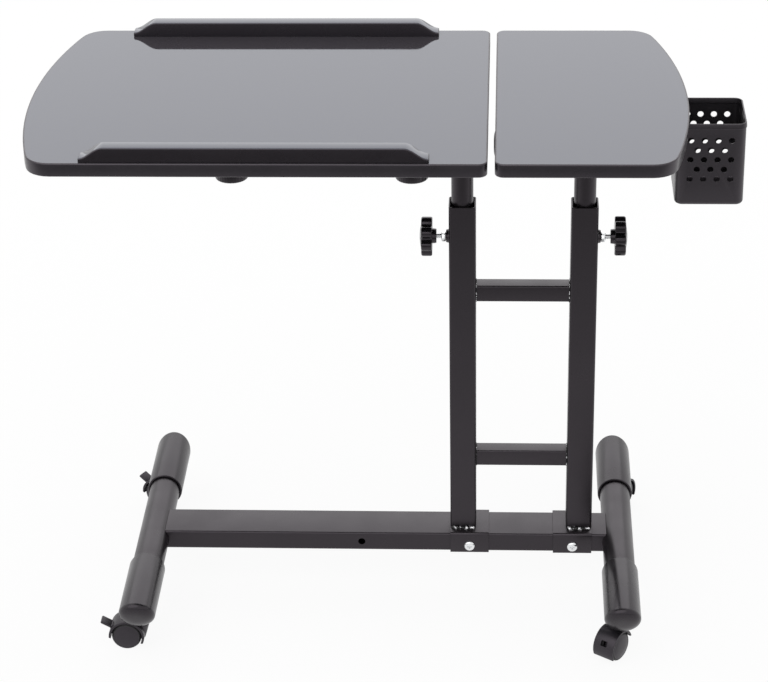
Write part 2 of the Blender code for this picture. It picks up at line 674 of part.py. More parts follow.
def foot_tube_mesh():
    """Foot tube along Y with a stem hole below near each end."""
    tube = moved(round_tube(FOOT_TUBE_RADIUS, FOOT_TUBE_WALL, FOOT_TUBE_LENGTH), TURNED_TO_Y)
    return cut(tube, moved(stem_drill(), shift(y=CASTER_Y)), moved(stem_drill(), shift(y=-CASTER_Y)))


def foot_cap_mesh():
    """Sleeve cap along +Y with its mouth at Y = 0, a domed end that leans out and a stem hole below."""
    profile = []
    for i in range(DOME_STEPS + 1):
        turn = math.pi / 2 * i / DOME_STEPS
        radius = CAP_RADIUS * math.sin(turn) ** CAP_DOME_FULLNESS
        profile.append((radius, CAP_LENGTH - CAP_DOME + CAP_DOME * math.cos(turn)))
    profile += [(CAP_RADIUS, 0.0), (CAP_BORE_RADIUS, 0.0),
                (CAP_BORE_RADIUS, CAP_LENGTH - CAP_END_WALL), (0.0, CAP_LENGTH - CAP_END_WALL)]
    cap = moved(turned(profile, FINE_STEPS), TURNED_TO_Y)
    for vertex in cap.vertices:
        if vertex.co.y > CAP_LENGTH - CAP_DOME - SEAT_GAP:
            vertex.co.y += math.tan(CAP_END_LEAN) * vertex.co.z
    return cut(cap, moved(stem_drill(), shift(y=CAP_LENGTH - CASTER_END_INSET)))


def caster_stem_mesh():
    """Stem along Z with a collar under the foot cap, from the floor at Z = 0."""
    collar_foot = STEM_COLLAR_TOP_Z - STEM_COLLAR_HEIGHT
    profile = [(0.0, STEM_TOP_Z), (STEM_RADIUS, STEM_TOP_Z), (STEM_RADIUS, STEM_COLLAR_TOP_Z),
               (STEM_COLLAR_RADIUS, STEM_COLLAR_TOP_Z), (STEM_COLLAR_RADIUS, collar_foot),
               (STEM_RADIUS, collar_foot), (STEM_RADIUS, STEM_FOOT_Z), (0.0, STEM_FOOT_Z)]
    return turned(profile, SMALL_STEPS)


def across_axle(mesh):
    """A shape drawn round the origin in XY, laid across the axle in the caster's frame."""
    return moved(mesh, shift(x=CASTER_TRAIL, z=WHEEL_RADIUS), ALONG_Y)


def brake_pivot():
    """Place of the brake lever's barrel in the caster's frame, half-way through the hood's wall."""
    radius = HOOD_RADIUS - HOOD_WALL / 2
    x = CASTER_TRAIL + radius * math.cos(BRAKE_PIVOT_ANGLE)
    z = WHEEL_RADIUS + radius * math.sin(BRAKE_PIVOT_ANGLE)
    return x, z


def hood_mesh(trailing_drop):
    """Hood over both wheels; the stem's axis is X = 0, the wheels trail towards +X."""
    start, end = -trailing_drop, math.pi + HOOD_LEADING_DROP
    outside = arc((0.0, 0.0), HOOD_RADIUS, start, end, HOOD_STEPS)
    body = across_axle(extruded([outside + [(0.0, outside[-1][1])]], HOOD_WIDTH))
    boss_foot = HOOD_TOP_Z - STEM_BOSS_HEIGHT
    boss = moved(cylinder(STEM_BOSS_RADIUS, STEM_BOSS_HEIGHT, SMALL_STEPS), shift(z=boss_foot))
    nose = cylinder(STEM_NOSE_RADIUS, STEM_NOSE_HEIGHT, SMALL_STEPS, STEM_BOSS_RADIUS)
    body = joined(body, joined(boss, moved(nose, shift(z=boss_foot - STEM_NOSE_HEIGHT + SEAT_GAP))))
    pockets = []
    for side in (1, -1):
        pocket = extruded([circle(HOOD_BORE_RADIUS, ROUND_STEPS)], HOOD_WIDTH)
        pockets.append(moved(across_axle(pocket), shift(y=side * (HOOD_WIDTH + HOOD_WEB) / 2)))
    stem_bore = cylinder(STEM_HOLE_RADIUS, STEM_BOSS_HEIGHT, SMALL_STEPS)
    stem_bore = moved(stem_bore, shift(z=STEM_FOOT_Z - SEAT_GAP))
    axle_bore = across_axle(extruded([circle(AXLE_BORE_RADIUS, SMALL_STEPS)], HOOD_WIDTH))
    slot_depth = 2 * (HOOD_WALL + HOOD_CLEARANCE)
    half_width = BRAKE_WIDTH / 2 + SEAT_GAP
    slot = box((0.0, -half_width, -BRAKE_SLOT_SWING / 2), (slot_depth, half_width, BRAKE_SLOT_SWING / 2))
    slot_radius = HOOD_RADIUS - HOOD_WALL / 2 - BRAKE_BARREL_RADIUS - RUNNING_GAP
    slot = moved(slot, shift(x=CASTER_TRAIL, z=WHEEL_RADIUS), Matrix.Rotation(-BRAKE_PIVOT_ANGLE, 4, "Y"),
                 shift(x=slot_radius))
    return cut(body, *pockets, stem_bore, axle_bore, slot)


def brake_lever_mesh():
    """Brake lever whose barrel is on the Y axis and whose pedal leans outwards and up."""
    barrel = extruded([circle(BRAKE_BARREL_RADIUS, SMALL_STEPS)], BRAKE_WIDTH)
    pedal = box((0.0, -BRAKE_WIDTH / 2, -BRAKE_PEDAL_THICKNESS / 2),
                (BRAKE_PEDAL_LENGTH, BRAKE_WIDTH / 2, BRAKE_PEDAL_THICKNESS / 2))
    pedal = moved(pedal, Matrix.Rotation(-BRAKE_PEDAL_ANGLE, 4, "Y"))
    return joined(moved(barrel, ALONG_Y), pedal)


def wheel_mesh():
    """Wheel along +Y with its inner face at Y = 0, a blind axle bore and a crowned outer face."""
    shoulder = WHEEL_RADIUS - WHEEL_SHOULDER
    profile = [(0.0, WHEEL_WIDTH), (shoulder, WHEEL_WIDTH - WHEEL_FACE_CROWN),
               (WHEEL_RADIUS, WHEEL_WIDTH - WHEEL_FACE_CROWN - WHEEL_SHOULDER / 2),
               (WHEEL_RADIUS, WHEEL_SHOULDER / 2), (WHEEL_RADIUS - WHEEL_SHOULDER / 2, 0.0),
               (AXLE_BORE_RADIUS, 0.0), (AXLE_BORE_RADIUS, AXLE_BORE_DEPTH), (0.0, AXLE_BORE_DEPTH)]
    return moved(turned(profile, ROUND_STEPS), TURNED_TO_Y)


def axle_mesh():
    """Axle pin along Y, centred on the origin."""
    return moved(extruded([circle(AXLE_RADIUS, SMALL_STEPS)], 2 * AXLE_REACH), ALONG_Y)


def basket_holes():
    """Cutters for the staggered holes through the basket's front and back walls."""
    drills = []
    for row, count in enumerate(BASKET_ROW_COUNTS):
        drop = BASKET_FIRST_ROW_DROP + row * BASKET_ROW_PITCH
        for i in range(count):
            across = (i - (count - 1) / 2) * BASKET_HOLE_PITCH
            drill = cylinder(BASKET_HOLE_RADIUS, BASKET_DEPTH + 2 * CUT_MARGIN, HOLE_STEPS)
            place = shift(x=across, y=-BASKET_DEPTH / 2 - CUT_MARGIN, z=-drop)
            drills.append(moved(drill, place, TURNED_TO_Y))
    return drills


def basket_mesh():
    """Open perforated basket with its rim at Z = 0 and a screw tab up its left side."""
    width, depth = BASKET_WIDTH - 2 * BASKET_RIM_PROUD, BASKET_DEPTH - 2 * BASKET_RIM_PROUD
    spare = 2 * BASKET_FLOOR_RADIUS
    outer = extruded([rounded_rectangle(width, depth, BASKET_CORNER_RADIUS)],
                     BASKET_HEIGHT + spare, BASKET_FLOOR_RADIUS)
    outer = moved(outer, shift(z=(spare - BASKET_HEIGHT) / 2))
    trim = box((-BASKET_WIDTH, -BASKET_DEPTH, 0.0), (BASKET_WIDTH, BASKET_DEPTH, 2 * spare))
    rim_outline = rounded_rectangle(BASKET_WIDTH, BASKET_DEPTH, BASKET_CORNER_RADIUS + BASKET_RIM_PROUD)
    rim = moved(extruded([rim_outline], BASKET_RIM_HEIGHT), shift(z=-BASKET_RIM_HEIGHT / 2))
    inside = rounded_rectangle(width - 2 * BASKET_WALL, depth - 2 * BASKET_WALL,
                               BASKET_CORNER_RADIUS - BASKET_WALL)
    pocket_height = BASKET_HEIGHT - BASKET_WALL + spare
    pocket = extruded([inside], pocket_height, BASKET_FLOOR_RADIUS - BASKET_WALL)
    pocket = moved(pocket, shift(z=spare - pocket_height / 2))
    shell = cut(joined(cut(outer, trim), rim), pocket)
    left = -BASKET_WIDTH / 2
    tab_top = BASKET_DROP - SEAT_GAP
    half_tab = BASKET_TAB_WIDTH / 2
    riser = box((left, -half_tab, -BASKET_RIM_HEIGHT / 2), (left + BASKET_WALL, half_tab, tab_top))
    tab = box((left - BASKET_TAB_LENGTH, -half_tab, tab_top - BASKET_WALL),
              (left + BASKET_WALL, half_tab, tab_top))
    return cut(joined(shell, joined(riser, tab)), *basket_holes())


class Table:
    """Builds the named pieces, each under the empty that carries or moves it."""

    def __init__(self):
        self.collection = bpy.data.collections.new("tattoo_work_table")
        bpy.context.scene.collection.children.link(self.collection)
        self.powder_coat = make_finish("powder_coated_steel", (0.030, 0.029, 0.031), 0.42, 0.0)
        self.zinc = make_finish("zinc_plated_steel", (0.70, 0.70, 0.68), 0.28, 1.0)
        self.plastic = make_finish("moulded_black_plastic", (0.022, 0.022, 0.024), 0.45, 0.0)
        self.cap_plastic = make_finish("satin_cap_plastic", (0.045, 0.044, 0.047), 0.38, 0.0)
        self.laminate = make_finish("charcoal_laminate", (0.045, 0.043, 0.047), 0.08, 0.0)
        self.base = self.pivot("base_frame")

    def pivot(self, name, parent=None, location=(0.0, 0.0, 0.0), turn=0.0):
        """Empty that carries pieces, turned about Z."""
        empty = bpy.data.objects.new(name, None)
        empty.parent = parent
        empty.location = location
        empty.rotation_euler.z = turn
        self.collection.objects.link(empty)
        return empty

    def piece(self, name, mesh, parent, location=(0.0, 0.0, 0.0), turn=0.0):
        """Named piece under its parent, turned about Z."""
        obj = bpy.data.objects.new(name, mesh)
        obj.parent = parent
        obj.location = location
        obj.rotation_euler.z = turn
        self.collection.objects.link(obj)
        return obj

    def build_base(self):
        """Crossbar, feet and foot caps."""
        crossbar = finished(crossbar_mesh(), "crossbar", self.powder_coat)
        self.piece("crossbar", crossbar, self.base, (0.0, 0.0, FOOT_AXIS_Z))
        tube = finished(foot_tube_mesh(), "foot_tube", self.powder_coat)
        cap = finished(foot_cap_mesh(), "foot_cap", self.cap_plastic)
        cap_mouth = FOOT_LENGTH / 2 - CAP_LENGTH
        for side, foot_x in (("left", LEFT_FOOT_X), ("right", RIGHT_FOOT_X)):
            self.piece(f"foot_tube_{side}", tube, self.base, (foot_x, 0.0, FOOT_AXIS_Z))
            self.piece(f"foot_cap_rear_{side}", cap, self.base, (foot_x, cap_mouth, FOOT_AXIS_Z))
            self.piece(f"foot_cap_front_{side}", cap, self.base, (foot_x, -cap_mouth, FOOT_AXIS_Z), HALF_TURN)

    def build_ladder(self):
        """Uprights, rungs, saddle brackets, screws, nuts and height knobs."""
        upright = finished(upright_mesh(), "upright", self.powder_coat)
        rung = finished(rung_mesh(), "rung", self.powder_coat)
        bracket = finished(bracket_mesh(), "saddle_bracket", self.powder_coat)
        screw = finished(bracket_screw_mesh(), "bracket_screw", self.zinc)
        nut = finished(clamp_nut_mesh(), "clamp_nut", self.zinc)
        knob = finished(height_knob_mesh(), "height_knob", self.plastic)
        bracket_front = -BAR_WIDTH / 2 - SEAT_GAP - BRACKET_WALL
        for side, post_x, turn in (("left", LEFT_POST_X, HALF_TURN), ("right", RIGHT_POST_X, 0.0)):
            outward = math.cos(turn)
            self.piece(f"upright_{side}", upright, self.base, (post_x, 0.0, UPRIGHT_FOOT_Z), turn)
            self.piece(f"saddle_bracket_{side}", bracket, self.base, (bracket_x(side), 0.0, FOOT_AXIS_Z))
            self.piece(f"bracket_screw_{side}", screw, self.base,
                       (bracket_x(side), bracket_front, FOOT_AXIS_Z - SCREW_DROP))
            nut_x = post_x + outward * NUT_START
            self.piece(f"clamp_nut_{side}", nut, self.base, (nut_x, 0.0, HEIGHT_KNOB_Z), turn)
            axis = self.pivot(f"height_knob_{side}_axis", self.base, (post_x, 0.0, HEIGHT_KNOB_Z), turn)
            self.piece(f"height_knob_{side}", knob, axis)
        middle = (LEFT_POST_X + RIGHT_POST_X) / 2
        for name, rise in (("upper", UPPER_RUNG_RISE), ("lower", LOWER_RUNG_RISE)):
            self.piece(f"rung_{name}", rung, self.base, (middle, 0.0, UPRIGHT_FOOT_Z + rise))

    def build_caster(self, name, foot_x, y, swivel, braked):
        """One caster: fixed stem, then the hood, axle, wheels and any brake on the swivel."""
        self.piece(f"caster_stem_{name}", self.stem, self.base, (foot_x, y, 0.0))
        pivot = self.pivot(f"caster_swivel_{name}", self.base, (foot_x, y, 0.0), swivel)
        self.piece(f"caster_hood_{name}", self.braked_hood if braked else self.plain_hood, pivot)
        self.piece(f"caster_axle_{name}", self.axle, pivot, (CASTER_TRAIL, 0.0, WHEEL_RADIUS))
        for label, side, turn in (("a", 1, 0.0), ("b", -1, HALF_TURN)):
            self.piece(f"caster_wheel_{name}_{label}", self.wheel, pivot,
                       (CASTER_TRAIL, side * WHEEL_INNER_Y, WHEEL_RADIUS), turn)
        if braked:
            lever_x, lever_z = brake_pivot()
            self.piece(f"brake_lever_{name}", self.lever, pivot, (lever_x, 0.0, lever_z))

    def build_casters(self):
        """Four casters, braked on the left."""
        self.stem = finished(caster_stem_mesh(), "caster_stem", self.zinc)
        self.plain_hood = finished(hood_mesh(HOOD_PLAIN_TRAILING_DROP), "caster_hood", self.plastic)
        self.braked_hood = finished(hood_mesh(HOOD_BRAKED_TRAILING_DROP), "braked_hood", self.plastic)
        self.axle = finished(axle_mesh(), "caster_axle", self.zinc)
        self.wheel = finished(wheel_mesh(), "caster_wheel", self.plastic)
        self.lever = finished(brake_lever_mesh(), "brake_lever", self.plastic)
        self.build_caster("front_left", LEFT_FOOT_X, -CASTER_Y, FRONT_LEFT_SWIVEL, True)
        self.build_caster("rear_left", LEFT_FOOT_X, CASTER_Y, REAR_LEFT_SWIVEL, True)
        self.build_caster("front_right", RIGHT_FOOT_X, -CASTER_Y, FRONT_RIGHT_SWIVEL, False)
        self.build_caster("rear_right", RIGHT_FOOT_X, CASTER_Y, REAR_RIGHT_SWIVEL, False)

    def build_column(self, side, post_x, reaches, post, plug):
        """Post, cross tube and plugs, on the slide that raises them."""
        left_reach, right_reach = reaches
        slide = self.pivot(f"{side}_height_slide", self.base, (post_x, 0.0, CROSS_TUBE_Z))
        self.piece(f"post_{side}", post, slide)
        tube = finished(cross_tube_mesh(left_reach, right_reach), f"cross_tube_{side}", self.powder_coat)
        self.piece(f"cross_tube_{side}", tube, slide)
        self.piece(f"tube_plug_{side}_left", plug, slide, (-left_reach, 0.0, 0.0), HALF_TURN)
        self.piece(f"tube_plug_{side}_right", plug, slide, (right_reach, 0.0, 0.0))
        return slide

    def build_large_top(self, slide):
        """Tilting worktop with its stop bars, clamps and tilt knobs, on the cross tube's axis."""
        tilt = self.pivot("large_top_tilt", slide)
        top = finished(worktop_mesh(LARGE_TOP_WIDTH, TOP_END_APEX_Y), "worktop_large", self.laminate)
        self.piece("worktop_large", top, tilt, (LARGE_TOP_OVERHANG, 0.0, TOP_RISE))
        bar = finished(stop_bar_mesh(), "stop_bar", self.plastic)
        bar_x = LARGE_TOP_OVERHANG - STOP_BAR_SIDE_INSET - STOP_BAR_LENGTH / 2
        bar_y = TOP_DEPTH / 2 - STOP_BAR_EDGE_INSET - STOP_BAR_DEPTH / 2
        bar_z = TOP_RISE + TOP_THICKNESS + SEAT_GAP
        self.piece("stop_bar_front", bar, tilt, (bar_x - STOP_BAR_STAGGER, -bar_y, bar_z))
        self.piece("stop_bar_rear", bar, tilt, (bar_x + STOP_BAR_STAGGER, bar_y, bar_z))
        clamp = finished(clamp_mesh(True), "tilt_clamp", self.plastic)
        knob = finished(tilt_knob_mesh(), "tilt_knob", self.plastic)
        for name, offset in (("inner", INNER_CLAMP_OFFSET), ("outer", INNER_CLAMP_OFFSET + CLAMP_SPACING)):
            self.piece(f"tilt_clamp_{name}", clamp, tilt, (-offset, 0.0, 0.0))
            self.piece(f"tilt_knob_{name}", knob, tilt, (-offset, 0.0, 0.0))

    def build_small_top(self, slide):
        """Fixed worktop with its two saddles and the pen basket."""
        top = finished(worktop_mesh(SMALL_TOP_WIDTH, -TOP_END_APEX_Y), "worktop_small", self.laminate)
        left = SMALL_TOP_LEFT_X - RIGHT_POST_X
        self.piece("worktop_small", top, slide, (left, 0.0, TOP_RISE), HALF_TURN)
        saddle = finished(clamp_mesh(False), "tube_saddle", self.plastic)
        self.piece("tube_saddle_inner", saddle, slide, (INNER_SADDLE_X - RIGHT_POST_X, 0.0, 0.0))
        self.piece("tube_saddle_outer", saddle, slide, (OUTER_SADDLE_X - RIGHT_POST_X, 0.0, 0.0))
        basket = finished(basket_mesh(), "pen_basket", self.powder_coat)
        basket_x = BASKET_LEFT_X + BASKET_WIDTH / 2 - RIGHT_POST_X
        self.piece("pen_basket", basket, slide, (basket_x, 0.0, TOP_RISE - BASKET_DROP))

    def build(self):
        """Build every piece of the table."""
        self.build_base()
        self.build_ladder()
        self.build_casters()
        post = finished(post_mesh(), "post", self.powder_coat)
        plug = finished(tube_plug_mesh(), "tube_plug", self.plastic)
        left_reaches = (LARGE_TUBE_LEFT_REACH, LARGE_TUBE_RIGHT_REACH)
        right_reaches = (RIGHT_POST_X - SMALL_TUBE_LEFT_X, SMALL_TUBE_RIGHT_X - RIGHT_POST_X)
        self.build_large_top(self.build_column("left", LEFT_POST_X, left_reaches, post, plug))
        self.build_small_top(self.build_column("right", RIGHT_POST_X, right_reaches, post, plug))


def main():
    """Clear the scene and build the table."""
    clear_scene()
    Table().build()
    bpy.context.view_layer.update()


main()
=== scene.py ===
"""Looks of the rolling two-part work table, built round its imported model.

Sizes are in metres in the model's own frame: +X towards the pen basket, +Y to the
back and +Z up, with the floor at Z = 0. Each class dresses one sub-assembly.
"""

from __future__ import annotations

import json
import logging
import math
from dataclasses import dataclass
from enum import Enum
from typing import Sequence

import bmesh
import bpy
from mathutils import Matrix, Vector

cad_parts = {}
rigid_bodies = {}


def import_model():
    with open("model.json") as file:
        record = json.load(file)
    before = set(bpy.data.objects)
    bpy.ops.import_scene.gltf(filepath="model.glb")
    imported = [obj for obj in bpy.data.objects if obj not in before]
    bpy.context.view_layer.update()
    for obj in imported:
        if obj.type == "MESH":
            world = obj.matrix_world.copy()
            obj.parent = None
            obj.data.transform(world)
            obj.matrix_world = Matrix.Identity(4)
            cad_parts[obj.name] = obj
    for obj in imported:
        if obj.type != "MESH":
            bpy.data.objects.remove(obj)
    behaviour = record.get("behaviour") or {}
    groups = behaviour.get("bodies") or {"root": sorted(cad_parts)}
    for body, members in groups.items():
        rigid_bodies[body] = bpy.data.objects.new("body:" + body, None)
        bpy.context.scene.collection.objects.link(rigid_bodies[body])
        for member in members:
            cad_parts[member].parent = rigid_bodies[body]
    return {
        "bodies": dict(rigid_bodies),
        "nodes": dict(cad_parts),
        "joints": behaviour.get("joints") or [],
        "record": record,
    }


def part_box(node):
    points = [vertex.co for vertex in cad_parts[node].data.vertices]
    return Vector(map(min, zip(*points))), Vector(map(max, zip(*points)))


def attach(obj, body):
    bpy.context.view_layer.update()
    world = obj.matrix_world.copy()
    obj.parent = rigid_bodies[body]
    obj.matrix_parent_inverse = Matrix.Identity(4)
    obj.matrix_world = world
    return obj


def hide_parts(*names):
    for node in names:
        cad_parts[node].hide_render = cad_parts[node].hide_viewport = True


LOG = logging.getLogger("work_table")
Point = tuple[float, float]
Ring = list[Vector]

# Joins, cuts and shading of meshes
MERGE_DISTANCE = 1e-6
FLAT_ANGLE = math.radians(1)
SMOOTH_ANGLE = math.radians(36)
BEVEL_SEGMENTS = 2
CUT_MARGIN = 0.004

# Gap between two pieces that seat on each other
SEAT_GAP = 0.0003

# Facets of round shapes
TURN_STEPS = 64
SMALL_TURN_STEPS = 32
CORNER_STEPS = 6
EDGE_STEPS = 4
PUNCH_STEPS = 28
RIPPLE_STEPS = 10
RIPPLE_RINGS = 6

# Least and greatest size of a weld's ripples against its bead
RIPPLE_SIZES = (0.75, 1.1)

# Noise in the finishes
GRAIN_DETAIL = 3.0
GRAIN_ROUGHNESS = 0.6
DRIFT_DETAIL = 2.0
PAINTED_GLINT_DETAIL = 1.0
FLECK_BAND = (0.42, 0.72)
DRIFT_BAND = (0.3, 0.7)
BUMP_STRENGTH = 0.6

# Black pigment leaves the reflection a trace short of green
PLUM_CAST = "#FFF2FF"

# Turns that lay a shape made along Z along another axis
ALONG_X = Matrix.Rotation(math.radians(90), 4, "Y")
ALONG_Y = Matrix.Rotation(math.radians(-90), 4, "X")
ALONG_MINUS_Y = Matrix.Rotation(math.radians(90), 4, "X")
UPSIDE_DOWN = Matrix.Rotation(math.pi, 4, "X")


class Slot(Enum):
    """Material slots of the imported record."""

    POWDER_COAT = "powder_coated_steel"
    ZINC = "zinc_plated_steel"
    PLASTIC = "moulded_black_plastic"
    CAP = "satin_cap_plastic"
    LAMINATE = "charcoal_laminate"


class Side(Enum):
    """Left or right, of the columns or of a tube's ends, with the direction along X."""

    LEFT = -1
    RIGHT = 1

    @property
    def word(self) -> str:
        """Name of the side as the nodes spell it."""
        return self.name.lower()

    @property
    def outward(self) -> Matrix:
        """Turn that lays a shape made along Z along X, away from the other side."""
        return ALONG_X if self is Side.RIGHT else ALONG_X.inverted()


def linear(hex_colour: str) -> tuple[float, float, float, float]:
    """Turn an sRGB hex colour into linear RGBA.

    Args:
        hex_colour: colour such as "#A0A0A0".

    Returns:
        Linear red, green, blue and an alpha of 1.
    """
    channels = [int(hex_colour[i:i + 2], 16) / 255 for i in (1, 3, 5)]
    return (*[c / 12.92 if c <= 0.04045 else ((c + 0.055) / 1.055) ** 2.4 for c in channels], 1.0)


def add_node(tree: bpy.types.NodeTree, kind: str, settings: dict | None = None,
             inputs: dict | None = None) -> bpy.types.Node:
    """Add a node with its settings and its links.

    Args:
        tree: node tree that gets the node.
        kind: the node's type name.
        settings: attributes of the node.
        inputs: sockets by name or index, each with a value or the socket that feeds it.

    Returns:
        The new node.
    """
    node = tree.nodes.new(kind)
    for name, value in (settings or {}).items():
        setattr(node, name, value)
    for key, value in (inputs or {}).items():
        if isinstance(value, bpy.types.NodeSocket):
            tree.links.new(value, node.inputs[key])
        else:
            node.inputs[key].default_value = value
    return node


def worked_out(tree: bpy.types.NodeTree, operation: str, first: bpy.types.NodeSocket,
               second: float | bpy.types.NodeSocket) -> bpy.types.NodeSocket:
    """Socket with the result of an operation on two values."""
    return add_node(tree, "ShaderNodeMath", {"operation": operation}, {0: first, 1: second}).outputs[0]


def blended(tree: bpy.types.NodeTree, share: bpy.types.NodeSocket, first: tuple | bpy.types.NodeSocket,
            second: tuple | bpy.types.NodeSocket) -> bpy.types.NodeSocket:
    """Socket with a colour between two others."""
    mix = add_node(tree, "ShaderNodeMix", {"data_type": "RGBA"}, {0: share, 6: first, 7: second})
    return mix.outputs[2]


@dataclass(frozen=True)
class Finish:
    """A real material: its colour, gloss and the relief that its making leaves.

    The grain is a fine noise in the colour and the relief, and the drift is a slow
    change of gloss across a hand's width.
    """

    name: str
    colour: str
    fleck: str
    roughness: float
    roughness_drift: float
    grain_size: float
    relief: float
    drift_size: float = 0.045
    metallic: float = 0.0
    specular: float = 0.5
    specular_tint: str = "#FFFFFF"

    def build(self) -> bpy.types.Material:
        """Make the Blender material.

        Returns:
            A Principled material with noise-driven colour, gloss and bump.
        """
        material = bpy.data.materials.new(self.name)
        material.use_nodes = True
        tree = material.node_tree
        shader = tree.nodes["Principled BSDF"]
        shader.inputs["Metallic"].default_value = self.metallic
        shader.inputs["Specular IOR Level"].default_value = self.specular
        shader.inputs["Specular Tint"].default_value = linear(self.specular_tint)
        place = add_node(tree, "ShaderNodeTexCoord").outputs["Object"]
        grain = add_node(tree, "ShaderNodeTexNoise", inputs={
            "Vector": place, "Scale": 1 / self.grain_size, "Detail": GRAIN_DETAIL,
            "Roughness": GRAIN_ROUGHNESS})
        drift = add_node(tree, "ShaderNodeTexNoise", inputs={
            "Vector": place, "Scale": 1 / self.drift_size, "Detail": DRIFT_DETAIL})
        flecks = add_node(tree, "ShaderNodeMapRange", inputs={
            "Value": grain.outputs["Fac"], "From Min": FLECK_BAND[0], "From Max": FLECK_BAND[1]})
        colour = blended(tree, flecks.outputs["Result"], linear(self.colour), linear(self.fleck))
        gloss = add_node(tree, "ShaderNodeMapRange", inputs={
            "Value": drift.outputs["Fac"], "From Min": DRIFT_BAND[0], "From Max": DRIFT_BAND[1],
            "To Min": self.roughness - self.roughness_drift,
            "To Max": self.roughness + self.roughness_drift})
        bump = add_node(tree, "ShaderNodeBump", inputs={
            "Height": grain.outputs["Fac"], "Distance": self.relief, "Strength": BUMP_STRENGTH})
        tree.links.new(colour, shader.inputs["Base Color"])
        tree.links.new(gloss.outputs["Result"], shader.inputs["Roughness"])
        tree.links.new(bump.outputs["Normal"], shader.inputs["Normal"])
        return material


@dataclass(frozen=True)
class ThinCoat(Finish):
    """A coat with bright metal specks painted on its ripples as glints of light."""

    bare_metal: str = "#D2D2D4"
    thin_from: float = 0.56
    thin_to: float = 0.60

    def build(self) -> bpy.types.Material:
        """Make the coat and paint its glints on as bright metal specks.

        Returns:
            The material.
        """
        material = super().build()
        tree = material.node_tree
        shader = tree.nodes["Principled BSDF"]
        coat = shader.inputs["Base Color"].links[0].from_socket
        place = add_node(tree, "ShaderNodeTexCoord").outputs["Object"]
        # Painted highlights: bright metal specks stand in for glints of light on the ripples
        glint_noise = add_node(tree, "ShaderNodeTexNoise", inputs={
            "Vector": place, "Scale": 1 / self.drift_size, "Detail": PAINTED_GLINT_DETAIL})
        painted_glints = add_node(tree, "ShaderNodeMapRange", inputs={
            "Value": glint_noise.outputs["Fac"], "From Min": self.thin_from, "From Max": self.thin_to})
        colour = blended(tree, painted_glints.outputs["Result"], coat, linear(self.bare_metal))
        tree.links.new(colour, shader.inputs["Base Color"])
        tree.links.new(painted_glints.outputs["Result"], shader.inputs["Metallic"])
        return material


class Finishes:
    """Every finish on the table."""

    def __init__(self) -> None:
        # Polyester powder baked on steel: a soft satin with a faint orange peel, drawn at 1.6 mm to show
        self.powder_coat = Finish("powder_coated_steel_black", "#151315", "#1B191B", 0.32, 0.05,
                                  0.0016, 0.00005, specular=0.52, specular_tint=PLUM_CAST).build()
        # The same powder on thin folded sheet, which lies flatter and looks a little greyer
        self.sheet_coat = Finish("powder_coated_sheet_black", "#1B1A1C", "#222123", 0.36, 0.05,
                                 0.0014, 0.00004, specular=0.66, specular_tint=PLUM_CAST).build()
        # Powder that pools between weld ripples: slick black, with painted glints as bright metal specks
        self.weld = ThinCoat("powder_coated_weld_black", "#0E0D0F", "#151416", 0.18, 0.04,
                             0.0012, 0.00003, drift_size=0.0042, specular=0.3).build()
        # Polypropylene sleeve caps, moulded satin: broad soft highlights
        self.cap = Finish("moulded_polypropylene_satin", "#1C1B1D", "#222123", 0.25, 0.04,
                          0.0012, 0.00002, specular=0.42, specular_tint=PLUM_CAST).build()
        # Nylon hoods, wheels and clamps with a fine spark-eroded grain
        self.nylon = Finish("moulded_nylon_black", "#1E1D20", "#262528", 0.36, 0.05,
                            0.0009, 0.00004, specular=0.46, specular_tint=PLUM_CAST).build()
        # Phenolic grips, polished in the mould: near black with sharp glints
        self.grip = Finish("moulded_phenolic_black", "#0D0C0E", "#121113", 0.20, 0.05,
                           0.0012, 0.00002, specular=0.5, specular_tint=PLUM_CAST).build()
        # Polyurethane tread, duller than the nylon disc
        self.tread = Finish("cast_polyurethane_tread", "#1F1E20", "#272628", 0.60, 0.05,
                            0.0010, 0.00006).build()
        # High-pressure laminate, charcoal and gloss pressed, which mirrors the room
        self.laminate = Finish("gloss_pressed_charcoal_laminate", "#3A373B", "#3D3A3E", 0.06, 0.01,
                               0.0018, 0.000001, specular=1.0, specular_tint="#E4EBFF").build()
        # Extruded vinyl edge band, satin black
        self.edge_band = Finish("extruded_vinyl_edge_black", "#1C1B1E", "#222124", 0.30, 0.04,
                                0.0015, 0.00003, specular=0.72, specular_tint=PLUM_CAST).build()
        # Melamine paper on the underside of the board, matte
        self.backing = Finish("melamine_backing_black", "#2A2A2B", "#303031", 0.55, 0.05,
                              0.0020, 0.00002).build()
        # Satin lacquer on the stop bars' sawn sides, darker and duller than their laminated tops
        self.lacquer = Finish("satin_lacquer_black", "#121013", "#161417", 0.27, 0.03,
                              0.0020, 0.00001, specular=0.62, specular_tint=PLUM_CAST).build()
        # Bright zinc on turned steel, with the faint cloudiness of the plating bath
        self.zinc = Finish("bright_zinc_plate", "#EEEFF0", "#E2E4E6", 0.24, 0.06,
                           0.0016, 0.00002, drift_size=0.006, metallic=1.0).build()


